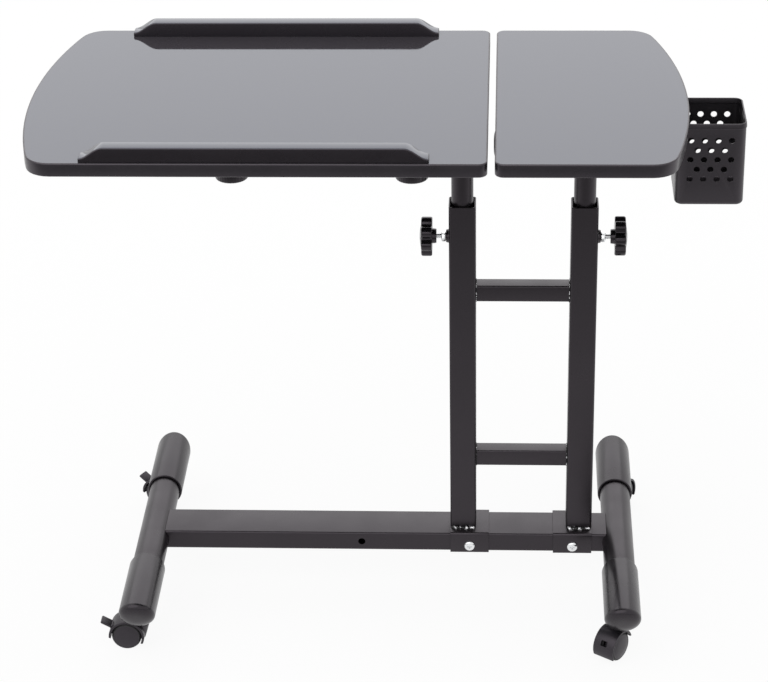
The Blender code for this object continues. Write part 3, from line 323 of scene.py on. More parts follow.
class Frame:
    """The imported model's nodes and joints, by name."""

    def __init__(self) -> None:
        self.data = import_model()
        self.joints = {joint["name"]: joint for joint in self.data["joints"]}

    def joint(self, name: str) -> Vector:
        """Point on a joint's axis."""
        return Vector(self.joints[name]["pos_m"])

    def axis(self, name: str) -> Vector:
        """Direction of a joint's axis."""
        return Vector(self.joints[name]["axis"]).normalized()

    def low(self, node: str) -> Vector:
        """Lowest corner of a node."""
        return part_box(node)[0]

    def high(self, node: str) -> Vector:
        """Highest corner of a node."""
        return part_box(node)[1]

    def middle(self, node: str) -> Vector:
        """Middle of a node's box."""
        low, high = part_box(node)
        return (low + high) / 2

    def copy_of(self, node: str) -> bpy.types.Mesh:
        """Copy of a node's mesh with its loose triangles merged."""
        work = bmesh.new()
        work.from_mesh(self.data["nodes"][node].data)
        bmesh.ops.remove_doubles(work, verts=work.verts, dist=MERGE_DISTANCE)
        bmesh.ops.dissolve_limit(work, angle_limit=FLAT_ANGLE, verts=work.verts, edges=work.edges)
        mesh = bpy.data.meshes.new(node + "_copy")
        work.to_mesh(mesh)
        work.free()
        return mesh


def arc(centre: Sequence[float], radius: float, start: float, end: float, steps: int) -> list[Point]:
    """Points of an arc, both ends included.

    Args:
        centre: middle of the arc.
        radius: its radius.
        start: first angle.
        end: last angle.
        steps: number of straight pieces.

    Returns:
        The points in order.
    """
    turns = [start + (end - start) * i / steps for i in range(steps + 1)]
    return [(centre[0] + radius * math.cos(t), centre[1] + radius * math.sin(t)) for t in turns]


def circle(radius: float, steps: int) -> list[Point]:
    """Points of a circle round the origin, counter-clockwise."""
    return arc((0.0, 0.0), radius, 0.0, 2 * math.pi, steps)[:-1]


def fillet(points: Sequence[Point], radii: Sequence[float], closed: bool = True,
           steps: int = CORNER_STEPS) -> list[Point]:
    """Round the corners of an outline.

    Args:
        points: its corners.
        radii: a radius for each corner, or 0 to leave it sharp.
        closed: whether the last point joins the first.
        steps: straight pieces in each arc.

    Returns:
        The outline with an arc at each rounded corner.
    """
    outline: list[Point] = []
    for i, (corner, radius) in enumerate(zip(points, radii)):
        if not radius or (not closed and i in (0, len(points) - 1)):
            outline.append(tuple(corner))
            continue
        here = Vector(corner)
        before = (Vector(points[i - 1]) - here).normalized()
        after = (Vector(points[(i + 1) % len(points)]) - here).normalized()
        half = before.angle(after) / 2
        centre = here + (before + after).normalized() * radius / math.sin(half)
        start = here + before * radius / math.tan(half) - centre
        end = here + after * radius / math.tan(half) - centre
        sweep = math.atan2(start.x * end.y - start.y * end.x, start.dot(end))
        first = math.atan2(start.y, start.x)
        outline += arc(centre, radius, first, first + sweep, steps)
    return outline


def rounded_rectangle(width: float, height: float, radius: float) -> list[Point]:
    """Rectangle round the origin with rounded corners, counter-clockwise."""
    x, y = width / 2, height / 2
    return fillet([(x, -y), (x, y), (-x, y), (-x, -y)], [radius] * 4)


def placed(outline: Sequence[Point], height: float, place: Matrix) -> Ring:
    """Put a flat outline at a height above a place's own XY plane."""
    return [place @ Vector((x, y, height)) for x, y in outline]


class Skin:
    """A mesh put together from closed shells, each made of rings of points."""

    def __init__(self) -> None:
        self.work = bmesh.new()

    def loft(self, rings: Sequence[Ring], slots: Sequence[int] = (0,),
             caps: tuple[int, int] | None = (0, 0), loop: bool = False) -> "Skin":
        """Join rings of equal length into a shell.

        Args:
            rings: the rings in order.
            slots: material index of each span, the last one repeated.
            caps: material indexes of the first and last ring's faces, or None for open ends.
            loop: whether the last ring joins the first.

        Returns:
            This skin.
        """
        rows = [[self.work.verts.new(point) for point in ring] for ring in rings]
        follow = rows[1:] + (rows[:1] if loop else [])
        count = len(rows[0])
        for span, (row, upper) in enumerate(zip(rows, follow)):
            for i in range(count):
                j = (i + 1) % count
                face = self.work.faces.new((row[i], row[j], upper[j], upper[i]))
                face.material_index = slots[min(span, len(slots) - 1)]
        if caps and not loop:
            self.work.faces.new(tuple(reversed(rows[0]))).material_index = caps[0]
            self.work.faces.new(tuple(rows[-1])).material_index = caps[1]
        return self

    def lathe(self, profile: Sequence[Point], place: Matrix, steps: int = TURN_STEPS,
              slots: Sequence[int] = (0,), loop: bool = False) -> "Skin":
        """Turn a profile of (radius, height) points about a place's Z axis.

        Args:
            profile: its points; both ends lie on the axis unless it is a loop.
            place: where the axis is.
            steps: facets round the axis.
            slots: material index of each span.
            loop: whether the profile closes on itself, as a tube's does.

        Returns:
            This skin.
        """
        rings = [placed(circle(radius, steps), height, place) for radius, height in profile]
        return self.loft(rings, slots, None, loop)

    def mesh(self, name: str) -> bpy.types.Mesh:
        """Close the skin as a mesh.

        Args:
            name: the mesh's name.

        Returns:
            The mesh, merged, facing out and shaded smooth between its edges.
        """
        bmesh.ops.remove_doubles(self.work, verts=self.work.verts, dist=MERGE_DISTANCE)
        bmesh.ops.dissolve_degenerate(self.work, edges=self.work.edges, dist=MERGE_DISTANCE)
        bmesh.ops.recalc_face_normals(self.work, faces=self.work.faces)
        mesh = bpy.data.meshes.new(name)
        self.work.to_mesh(mesh)
        self.work.free()
        return smooth(mesh)


def smooth(mesh: bpy.types.Mesh) -> bpy.types.Mesh:
    """Shade a mesh smooth but for its sharp edges."""
    mesh.shade_smooth()
    mesh.set_sharp_from_angle(angle=SMOOTH_ANGLE)
    return mesh


def scratch(mesh: bpy.types.Mesh) -> bpy.types.Object:
    """Temporary object that a mesh is worked on."""
    obj = bpy.data.objects.new("scratch", mesh)
    bpy.context.scene.collection.objects.link(obj)
    return obj


def evaluated(obj: bpy.types.Object) -> bpy.types.Mesh:
    """Plain mesh of a temporary object with its modifiers applied; the object is removed."""
    bpy.context.view_layer.update()
    depsgraph = bpy.context.evaluated_depsgraph_get()
    mesh = bpy.data.meshes.new_from_object(obj.evaluated_get(depsgraph), depsgraph=depsgraph)
    bpy.data.objects.remove(obj, do_unlink=True)
    return mesh


def carved(base: bpy.types.Mesh, tools: Sequence[bpy.types.Mesh],
           operation: str = "DIFFERENCE") -> bpy.types.Mesh:
    """Cut meshes out of a mesh, or join them to it.

    Args:
        base: the mesh that is worked on.
        tools: closed meshes.
        operation: DIFFERENCE or UNION.

    Returns:
        The new mesh.
    """
    obj = scratch(base)
    cutters = [scratch(tool) for tool in tools]
    for cutter in cutters:
        step = obj.modifiers.new("Carve", "BOOLEAN")
        step.operation = operation
        step.object = cutter
    mesh = evaluated(obj)
    for cutter in cutters:
        bpy.data.objects.remove(cutter, do_unlink=True)
    return smooth(mesh)


def bevelled(mesh: bpy.types.Mesh, width: float) -> bpy.types.Mesh:
    """Mesh with its sharp edges rounded by a small width."""
    obj = scratch(mesh)
    bevel = obj.modifiers.new("Soft edges", "BEVEL")
    bevel.width = width
    bevel.segments = BEVEL_SEGMENTS
    bevel.limit_method = "ANGLE"
    bevel.angle_limit = SMOOTH_ANGLE
    return smooth(evaluated(obj))


class Dresser:
    """Puts finished meshes on the frame and reports them."""

    def __init__(self, frame: Frame, finishes: Finishes) -> None:
        self.frame = frame
        self.finishes = finishes

    def add(self, name: str, mesh: bpy.types.Mesh, body: str, slot: Slot,
            materials: Sequence[bpy.types.Material] = (), replaces: Sequence[str] = ()) -> None:
        """Add a piece to the object.

        Args:
            name: the piece's name.
            mesh: its mesh, in the model's frame.
            body: the body it rides on.
            slot: the record's slot that its finish belongs to; not used.
            materials: its materials in the order of the mesh's indexes, unless the mesh has them.
            replaces: the nodes it stands for.
        """
        mesh.name = name
        for material in materials:
            mesh.materials.append(material)
        obj = bpy.data.objects.new(name, mesh)
        bpy.context.scene.collection.objects.link(obj)
        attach(obj, body)
        if replaces:
            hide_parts(*replaces)
        LOG.info("%s rides on %s, %d faces", name, body, len(mesh.polygons))

    def dress(self, node: str, part: str, mesh: bpy.types.Mesh, body: str, slot: Slot,
              *materials: bpy.types.Material) -> None:
        """Add a piece that stands for one node.

        Args:
            node: the node.
            part: what the piece is, the second half of its name.
            mesh: its mesh, in the model's frame.
            body: the body it rides on.
            slot: the record's slot that its finish belongs to.
            materials: its materials in the order of the mesh's indexes, unless the mesh has them.
        """
        self.add(f"{node}_{part}", mesh, body, slot, materials, [node])

    def paint(self, node: str, material: bpy.types.Material) -> None:
        """Give a node that stays in view its material."""
        data = self.frame.data["nodes"][node].data
        data.materials.clear()
        data.materials.append(material)
        LOG.info("%s keeps its solid", node)


def socket_id(tree: bpy.types.NodeTree, name: str) -> str:
    """Identifier of a node group's named input."""
    return next(item.identifier for item in tree.interface.items_tree
                if item.item_type == "SOCKET" and item.in_out == "INPUT" and item.name == name)


def new_geometry_tree(name: str, inputs: dict[str, str]) -> tuple[bpy.types.NodeTree, dict]:
    """Start a Geometry Nodes tree.

    Args:
        name: the tree's name.
        inputs: names of its inputs with their socket types; Geometry comes first by itself.

    Returns:
        The tree and its input sockets by name.
    """
    tree = bpy.data.node_groups.new(name, "GeometryNodeTree")
    tree.interface.new_socket("Geometry", in_out="INPUT", socket_type="NodeSocketGeometry")
    tree.interface.new_socket("Geometry", in_out="OUTPUT", socket_type="NodeSocketGeometry")
    for key, kind in inputs.items():
        tree.interface.new_socket(key, in_out="INPUT", socket_type=kind)
    sockets = add_node(tree, "NodeGroupInput").outputs
    return tree, {socket.name: socket for socket in sockets if socket.name}


def grown(mesh: bpy.types.Mesh, tree: bpy.types.NodeTree, values: dict) -> bpy.types.Mesh:
    """Run a Geometry Nodes tree on a mesh.

    Args:
        mesh: what the tree works on.
        tree: the node tree.
        values: its inputs by name.

    Returns:
        The realized result as a plain mesh.
    """
    obj = scratch(mesh)
    modifier = obj.modifiers.new(tree.name, "NODES")
    modifier.node_group = tree
    for name, value in values.items():
        modifier[socket_id(tree, name)] = value
    return evaluated(obj)


def end_tree(tree: bpy.types.NodeTree, shape: bpy.types.NodeSocket, material: bpy.types.NodeSocket) -> None:
    """End a tree with Realize Instances and Set Material."""
    real = add_node(tree, "GeometryNodeRealizeInstances", inputs={0: shape})
    dressed = add_node(tree, "GeometryNodeSetMaterial", inputs={
        "Geometry": real.outputs[0], "Material": material})
    add_node(tree, "NodeGroupOutput", inputs={0: dressed.outputs[0]})


def perforation_tree() -> bpy.types.NodeTree:
    """Tree that punches staggered rows of round holes through a basket along Y.

    Returns:
        The tree; its long rows and the short rows between them are two grids of points.
    """
    tree, given = new_geometry_tree("Punch staggered holes", {
        "Hole radius": "NodeSocketFloat", "Hole pitch": "NodeSocketFloat", "Row pitch": "NodeSocketFloat",
        "Long row": "NodeSocketInt", "Long rows": "NodeSocketInt", "Reach": "NodeSocketFloat",
        "Middle": "NodeSocketVector", "Material": "NodeSocketMaterial"})
    punch = add_node(tree, "GeometryNodeMeshCylinder", inputs={
        "Vertices": PUNCH_STEPS, "Radius": given["Hole radius"], "Depth": given["Reach"]})
    grids = []
    for fewer in (0, 1):
        counts = [worked_out(tree, "SUBTRACT", given[key], fewer) for key in ("Long row", "Long rows")]
        spans = []
        for count, pitch, factor in zip(counts, ("Hole pitch", "Row pitch"), (1, 2)):
            gaps = worked_out(tree, "SUBTRACT", count, 1)
            span = worked_out(tree, "MULTIPLY", gaps, given[pitch])
            spans.append(worked_out(tree, "MULTIPLY", span, factor))
        grid = add_node(tree, "GeometryNodeMeshGrid", inputs={
            "Size X": spans[0], "Size Y": spans[1], "Vertices X": counts[0], "Vertices Y": counts[1]})
        grids.append(add_node(tree, "GeometryNodeInstanceOnPoints", inputs={
            "Points": grid.outputs["Mesh"], "Instance": punch.outputs["Mesh"]}))
    both = add_node(tree, "GeometryNodeJoinGeometry", inputs={0: grids[0].outputs[0]})
    tree.links.new(grids[1].outputs[0], both.inputs[0])
    punches = add_node(tree, "GeometryNodeRealizeInstances", inputs={0: both.outputs[0]})
    upright = add_node(tree, "GeometryNodeTransform", inputs={
        "Geometry": punches.outputs[0], "Translation": given["Middle"],
        "Rotation": (math.pi / 2, 0.0, 0.0)})
    cut = add_node(tree, "GeometryNodeMeshBoolean", {"operation": "DIFFERENCE", "solver": "EXACT"},
                   {0: given["Geometry"], 1: upright.outputs[0]})
    end_tree(tree, cut.outputs[0], given["Material"])
    return tree


def weld_tree() -> bpy.types.NodeTree:
    """Tree that lays a weld's overlapping ripples along edges.

    Returns:
        The tree; each ripple is a flattened ball of slightly random size.
    """
    tree, given = new_geometry_tree("Lay a weld bead", {
        "Ripple pitch": "NodeSocketFloat", "Bead radius": "NodeSocketFloat", "Seed": "NodeSocketInt",
        "Material": "NodeSocketMaterial"})
    path = add_node(tree, "GeometryNodeMeshToCurve", inputs={"Mesh": given["Geometry"]})
    even = add_node(tree, "GeometryNodeResampleCurve", {"mode": "LENGTH"}, {
        "Curve": path.outputs[0], "Length": given["Ripple pitch"]})
    ripple = add_node(tree, "GeometryNodeMeshUVSphere", inputs={
        "Segments": RIPPLE_STEPS, "Rings": RIPPLE_RINGS, "Radius": given["Bead radius"]})
    size = add_node(tree, "FunctionNodeRandomValue", {"data_type": "FLOAT"}, {
        2: RIPPLE_SIZES[0], 3: RIPPLE_SIZES[1], "Seed": given["Seed"]})
    ripples = add_node(tree, "GeometryNodeInstanceOnPoints", inputs={
        "Points": even.outputs[0], "Instance": ripple.outputs["Mesh"], "Scale": size.outputs[1]})
    real = add_node(tree, "GeometryNodeRealizeInstances", inputs={0: ripples.outputs[0]})
    soft = add_node(tree, "GeometryNodeSetShadeSmooth", inputs={"Geometry": real.outputs[0]})
    end_tree(tree, soft.outputs[0], given["Material"])
    return tree


def fastener_tree() -> bpy.types.NodeTree:
    """Tree that sets one fastener on each point, facing as the point's facing attribute says.

    Returns:
        The tree.
    """
    tree, given = new_geometry_tree("Set fasteners", {
        "Fastener": "NodeSocketObject", "Size": "NodeSocketFloat", "Material": "NodeSocketMaterial"})
    template = add_node(tree, "GeometryNodeObjectInfo", inputs={"Object": given["Fastener"]})
    facing = add_node(tree, "GeometryNodeInputNamedAttribute", {"data_type": "FLOAT_VECTOR"},
                      {"Name": "facing"})
    turn = add_node(tree, "FunctionNodeAlignRotationToVector", {"axis": "Z"}, {
        "Vector": facing.outputs["Attribute"]})
    heads = add_node(tree, "GeometryNodeInstanceOnPoints", inputs={
        "Points": given["Geometry"], "Instance": template.outputs["Geometry"],
        "Rotation": turn.outputs[0], "Scale": given["Size"]})
    end_tree(tree, heads.outputs[0], given["Material"])
    return tree


@dataclass
class Fasteners:
    """Pan-head screws with a cross recess, drawn once at the bracket screws' size."""

    dresser: Dresser
    head_radius: float = 0.0067
    head_height: float = 0.0036
    head_round: float = 0.8
    shank_radius: float = 0.0028
    shank_length: float = 0.006
    recess_reach: float = 0.0033
    recess_width: float = 0.0012
    recess_depth: float = 0.0018
    recess_rise: float = 0.001
    recess_round: float = 0.3
    recess_taper: Point = (0.6, 0.7)

    def template(self) -> bpy.types.Object:
        """Screw along +Z whose head seats at Z = 0.

        Returns:
            A temporary object that holds the screw.
        """
        end, shank = -self.shank_length, self.shank_radius
        rim, top = self.head_radius, self.head_height
        head = fillet([(rim, 0.0), (rim, top), (0.0, top)], [0.0, top * self.head_round, 0.0], False)
        profile = [(0.0, end), (shank, end), (shank, 0.0), *head]
        screw = Skin().lathe(profile, Matrix(), SMALL_TURN_STEPS).mesh("screw")
        wide = rounded_rectangle(2 * self.recess_reach, self.recess_width,
                                 self.recess_width * self.recess_round)
        narrow = [(x * self.recess_taper[0], y * self.recess_taper[1]) for x, y in wide]
        slots = []
        for turn in (0.0, math.pi / 2):
            place = Matrix.Rotation(turn, 4, "Z")
            rings = [placed(narrow, top - self.recess_depth, place),
                     placed(wide, top + self.recess_rise, place)]
            slots.append(Skin().loft(rings).mesh("slot"))
        return scratch(carved(screw, slots))

    def set(self, name: str, body: str, points: Sequence[Vector], facing: Vector, size: float,
            replaces: Sequence[str] = ()) -> None:
        """Add one piece that holds a screw at each point.

        Args:
            name: the piece's name.
            body: the body it rides on.
            points: where the heads seat.
            facing: the way the heads point.
            size: scale against the drawn screw.
            replaces: the nodes it stands for.
        """
        mesh = bpy.data.meshes.new(name + "_points")
        mesh.from_pydata([tuple(point) for point in points], [], [])
        way = mesh.attributes.new("facing", "FLOAT_VECTOR", "POINT")
        way.data.foreach_set("vector", [*facing] * len(points))
        template = self.template()
        screws = grown(mesh, fastener_tree(), {
            "Fastener": template, "Size": size, "Material": self.dresser.finishes.zinc})
        bpy.data.objects.remove(template, do_unlink=True)
        self.dresser.add(name, smooth(screws), body, Slot.ZINC, (), replaces)


@dataclass
class Welds:
    """Fillet welds, as rows of small overlapping ripples under the powder coat."""

    dresser: Dresser
    bead_radius: float = 0.0009
    ripple_pitch: float = 0.0010
    seed: int = 7

    def lay(self, name: str, body: str, paths: Sequence[Ring], closed: bool = True) -> None:
        """Add one piece that holds the beads along paths.

        Args:
            name: the piece's name.
            body: the body it rides on.
            paths: rows of points that the beads follow.
            closed: whether each row returns to its first point.
        """
        points: list[Vector] = []
        edges: list[tuple[int, int]] = []
        for path in paths:
            first = len(points)
            points += path
            spans = len(path) if closed else len(path) - 1
            edges += [(first + i, first + (i + 1) % len(path)) for i in range(spans)]
        mesh = bpy.data.meshes.new(name + "_paths")
        mesh.from_pydata([tuple(point) for point in points], edges, [])
        bead = grown(mesh, weld_tree(), {
            "Ripple pitch": self.ripple_pitch, "Bead radius": self.bead_radius, "Seed": self.seed,
            "Material": self.dresser.finishes.weld})
        self.dresser.add(name, bead, body, Slot.POWDER_COAT)


@dataclass
class Worktop:
    """A board with a square end, a bowed end and a vinyl edge band all round."""

    dresser: Dresser
    node: str
    body: str
    bowed: Side
    end_radius: float = 0.650
    apex_y: float = -0.020
    bow_corner: float = 0.030
    square_corner: float = 0.010
    band: float = 0.0018
    edge_round: float = 0.0015
    bow_steps: int = 60

    def outline(self, inset: float) -> list[Point]:
        """Outline with its square end at X = 0 and its bow towards -X.

        Args:
            inset: how far the outline lies inside the board's edge.

        Returns:
            The outline's points.
        """
        low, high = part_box(self.node)
        half = (high.y - low.y) / 2
        radius = self.end_radius - inset
        centre = (self.end_radius - (high.x - low.x), self.apex_y)
        rear = math.asin((half - inset - self.apex_y) / radius)
        front = math.asin((half - inset + self.apex_y) / radius)
        bow = arc(centre, radius, math.pi - rear, math.pi + front, self.bow_steps)
        near = math.ceil(self.bow_steps * self.bow_corner / (2 * half))
        corners = [(-inset, inset - half), (-inset, half - inset), bow[0], *bow[near:-near], bow[-1]]
        square, tip = self.square_corner - inset, self.bow_corner - inset
        radii = [square, square, tip, *[0.0] * (len(corners) - 4), tip]
        return fillet(corners, radii)

    def build(self) -> None:
        """Make the board and put it on its body."""
        low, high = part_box(self.node)
        square_x = low.x if self.bowed is Side.RIGHT else high.x
        place = Matrix.Translation((square_x, (low.y + high.y) / 2, low.z))
        if self.bowed is Side.RIGHT:
            place = place @ Matrix.Scale(-1, 4, (1, 0, 0))
        thickness = high.z - low.z
        edge = fillet([(self.band, 0.0), (0.0, 0.0), (0.0, thickness), (self.band, thickness)],
                      [0.0, self.edge_round, self.edge_round, 0.0], False, EDGE_STEPS)
        rings = [placed(self.outline(inset), height, place) for inset, height in edge]
        skin = Skin().loft(rings, (1,), (2, 0))
        finishes = self.dresser.finishes
        self.dresser.dress(self.node, "board", skin.mesh(self.node), self.body, Slot.LAMINATE,
                           finishes.laminate, finishes.edge_band, finishes.backing)


@dataclass
class StopBar:
    """A bar on the large worktop whose ends sweep down to a blunt nose."""

    dresser: Dresser
    node: str
    left_reach: float = 0.0
    right_reach: float = 0.0
    nose: float = 0.0044
    ramp: float = 0.028
    edge: float = 0.0016
    ramp_steps: int = 20
    top_slope: float = 0.75

    def build(self) -> None:
        """Make the bar from cross-sections along X."""
        low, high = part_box(self.node)
        depth, full = high.y - low.y, high.z - low.z
        middle_y = (low.y + high.y) / 2
        blunt = self.edge / 2
        stations = [(0.0, self.nose, blunt), (blunt, self.nose, 0.0)]
        for i in range(1, self.ramp_steps + 1):
            share = i / self.ramp_steps
            rise = (1 - math.cos(math.pi * share)) / 2
            stations.append((self.ramp * share, self.nose + (full - self.nose) * rise, 0.0))
        left = low.x - self.left_reach
        length = high.x + self.right_reach - left
        stations += [(length - x, height, inset) for x, height, inset in reversed(stations)]
        rings = []
        for x, height, inset in stations:
            half = depth / 2 - inset
            top = height - inset
            section = fillet([(half, 0.0), (half, top), (-half, top), (-half, 0.0)],
                             [0.0, self.edge, self.edge, 0.0], True, EDGE_STEPS)
            rings.append([Vector((left + x, middle_y + y, low.z + z)) for y, z in section])
        bar = Skin().loft(rings).mesh(self.node)
        for face in bar.polygons:
            face.material_index = int(face.normal.z > self.top_slope)
        finishes = self.dresser.finishes
        self.dresser.dress(self.node, "bar", bar, "large_top", Slot.PLASTIC,
                           finishes.lacquer, finishes.laminate)


def box_tube(width: float, height: float, wall: float, radius: float, length: float, place: Matrix,
             burr: float = 0.0004) -> bpy.types.Mesh:
    """Rectangular tube along a place's Z axis, from 0 to its length.

    Args:
        width: outside size along X.
        height: outside size along Y.
        wall: wall thickness.
        radius: outside corner radius.
        length: the tube's length.
        place: where the tube starts.
        burr: chamfer of its sawn ends.

    Returns:
        The tube's mesh.
    """
    outer = rounded_rectangle(width, height, radius)
    eased = rounded_rectangle(width - 2 * burr, height - 2 * burr, radius - burr)
    inner = rounded_rectangle(width - 2 * wall, height - 2 * wall, max(radius - wall, burr))
    layers = [(eased, 0.0), (outer, burr), (outer, length - burr), (eased, length), (inner, length),
              (inner, 0.0)]
    return Skin().loft([placed(ring, z, place) for ring, z in layers], loop=True).mesh("box_tube")


def round_tube(radius: float, wall: float, start: float, end: float, place: Matrix) -> bpy.types.Mesh:
    """Round tube along a place's Z axis, between two heights."""
    bore = radius - wall
    profile = [(bore, start), (radius, start), (radius, end), (bore, end)]
    return Skin().lathe(profile, place, loop=True).mesh("round_tube")


def cylinder(radius: float, start: float, end: float, place: Matrix,
             steps: int = SMALL_TURN_STEPS) -> bpy.types.Mesh:
    """Round bar or cutter along a place's Z axis, between two heights."""
    profile = [(0.0, start), (radius, start), (radius, end), (0.0, end)]
    return Skin().lathe(profile, place, steps).mesh("cylinder")


@dataclass
class Ladder:
    """Uprights, rungs, saddle brackets, clamp nuts and the welds between them."""

    dresser: Dresser
    wall: float = 0.0015
    upright_width: float = 0.032
    upright_corner: float = 0.003
    rung_corner: float = 0.0022
    boss_radius: float = 0.0075
    boss_length: float = 0.0035
    boss_flare: float = 0.001
    boss_edge: float = 0.001
    stud_radius: float = 0.003
    stud_clearance: float = 0.0004
    bracket_wall: float = 0.002
    bracket_bend: float = 0.0034
    bracket_edge: float = 0.0004
    nut_width: float = 0.0115
    nut_face: float = 0.97
    nut_bore: float = 0.68
    nut_ease: float = 0.12
    foot_bead: float = 0.0036
    foot_bead_offset: float = 0.0012
    foot_bead_stop: float = 0.0045
    foot_ripple: float = 0.0034

    def build(self) -> None:
        """Make both uprights with their brackets and nuts, the rungs and the welds."""
        for side in Side:
            self.build_upright(side)
            self.build_bracket(side)
            self.build_nut(side)
        for name in ("upper", "lower"):
            self.build_rung(f"rung_{name}")
        self.build_welds()

    def axis(self, side: Side) -> Vector:
        """Point on a column's axis at its height knob."""
        return self.dresser.frame.joint(f"height_knob_{side.word}_spin")

    def build_upright(self, side: Side) -> None:
        """Make one upright with its drilled boss."""
        node = f"upright_{side.word}"
        low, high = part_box(node)
        knob = self.axis(side)
        place = Matrix.Translation((knob.x, knob.y, low.z))
        width = self.upright_width
        tube = box_tube(width, width, self.wall, self.upright_corner, high.z - low.z, place)
        turn = Matrix.Translation(knob) @ side.outward
        inside = width / 2 - self.wall / 2
        end = width / 2 + self.boss_length
        profile = fillet([(0.0, inside), (self.boss_radius + self.boss_flare, inside),
                          (self.boss_radius, end), (0.0, end)], [0.0, 0.0, self.boss_edge, 0.0], False)
        boss = Skin().lathe(profile, turn, SMALL_TURN_STEPS).mesh("boss")
        hole = cylinder(self.stud_radius + self.stud_clearance, 0.0, end + CUT_MARGIN, turn)
        mesh = carved(carved(tube, [boss], "UNION"), [hole])
        self.dresser.dress(node, "tube", mesh, "base_frame", Slot.POWDER_COAT,
                           self.dresser.finishes.powder_coat)

    def build_rung(self, node: str) -> None:
        """Make one rung."""
        low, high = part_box(node)
        middle = self.dresser.frame.middle(node)
        place = Matrix.Translation((low.x, middle.y, middle.z)) @ ALONG_X
        width = high.z - low.z
        mesh = box_tube(width, width, self.wall, self.rung_corner, high.x - low.x, place)
        self.dresser.dress(node, "tube", mesh, "base_frame", Slot.POWDER_COAT,
                           self.dresser.finishes.powder_coat)

    def build_bracket(self, side: Side) -> None:
        """Make one saddle bracket, a bent U over the crossbar."""
        node = f"saddle_bracket_{side.word}"
        low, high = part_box(node)
        middle_y = (low.y + high.y) / 2
        half, top, foot = (high.y - low.y) / 2, high.z, low.z
        inner = half - self.bracket_wall
        ceiling = top - self.bracket_wall
        bend, tight = self.bracket_bend, self.bracket_bend - self.bracket_wall
        outline = fillet([(half, foot), (half, top), (-half, top), (-half, foot), (-inner, foot),
                          (-inner, ceiling), (inner, ceiling), (inner, foot)],
                         [0.0, bend, bend, 0.0, 0.0, tight, tight, 0.0])
        rings = [[Vector((x, middle_y + y, z)) for y, z in outline] for x in (low.x, high.x)]
        mesh = bevelled(Skin().loft(rings).mesh("bracket"), self.bracket_edge)
        self.dresser.dress(node, "channel", mesh, "base_frame", Slot.POWDER_COAT,
                           self.dresser.finishes.powder_coat)

    def build_nut(self, side: Side) -> None:
        """Make one hex nut, its corners turned down to a washer face."""
        node = f"clamp_nut_{side.word}"
        low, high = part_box(node)
        middle = self.dresser.frame.middle(node)
        steps = 6 * CORNER_STEPS
        flat = self.nut_width / 2
        rim = flat * self.nut_face
        hexagon, face = [], []
        for i in range(steps):
            turn = 2 * math.pi * i / steps
            reach = flat / math.cos(turn % (math.pi / 3) - math.pi / 6)
            hexagon.append((reach * math.sin(turn), reach * math.cos(turn)))
            face.append((rim * math.sin(turn), rim * math.cos(turn)))
        bore = [(x * self.nut_bore, y * self.nut_bore) for x, y in face]
        length = high.x - low.x
        ease = length * self.nut_ease
        place = Matrix.Translation((low.x, middle.y, middle.z)) @ ALONG_X
        layers = [(bore, 0.0), (face, 0.0), (hexagon, ease), (hexagon, length - ease), (face, length),
                  (bore, length)]
        mesh = Skin().loft([placed(ring, z, place) for ring, z in layers], loop=True).mesh(node)
        self.dresser.dress(node, "hex", mesh, "base_frame", Slot.ZINC, self.dresser.finishes.zinc)

    def build_welds(self) -> None:
        """Lay the heavy beads across the front and back of the uprights' feet and the light ones round the
        rungs' ends.
        """
        feet, rungs = [], []
        for side in Side:
            low = self.dresser.frame.low(f"upright_{side.word}")
            half = self.upright_width / 2
            for y in (-half - self.foot_bead_offset, half + self.foot_bead_offset):
                reach = half - self.foot_bead_stop
                feet.append([Vector((self.axis(side).x + x, y, low.z)) for x in (-reach, reach)])
        for name in ("rung_upper", "rung_lower"):
            low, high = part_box(name)
            middle = self.dresser.frame.middle(name)
            width = high.z - low.z
            for x in (low.x, high.x):
                place = Matrix.Translation((x, middle.y, middle.z)) @ ALONG_X
                rungs.append(placed(rounded_rectangle(width, width, self.rung_corner), 0.0, place))
        heavy = Welds(self.dresser, self.foot_bead, self.foot_ripple)
        heavy.lay("upright_foot_welds", "base_frame", feet, closed=False)
        Welds(self.dresser).lay("ladder_welds", "base_frame", rungs)


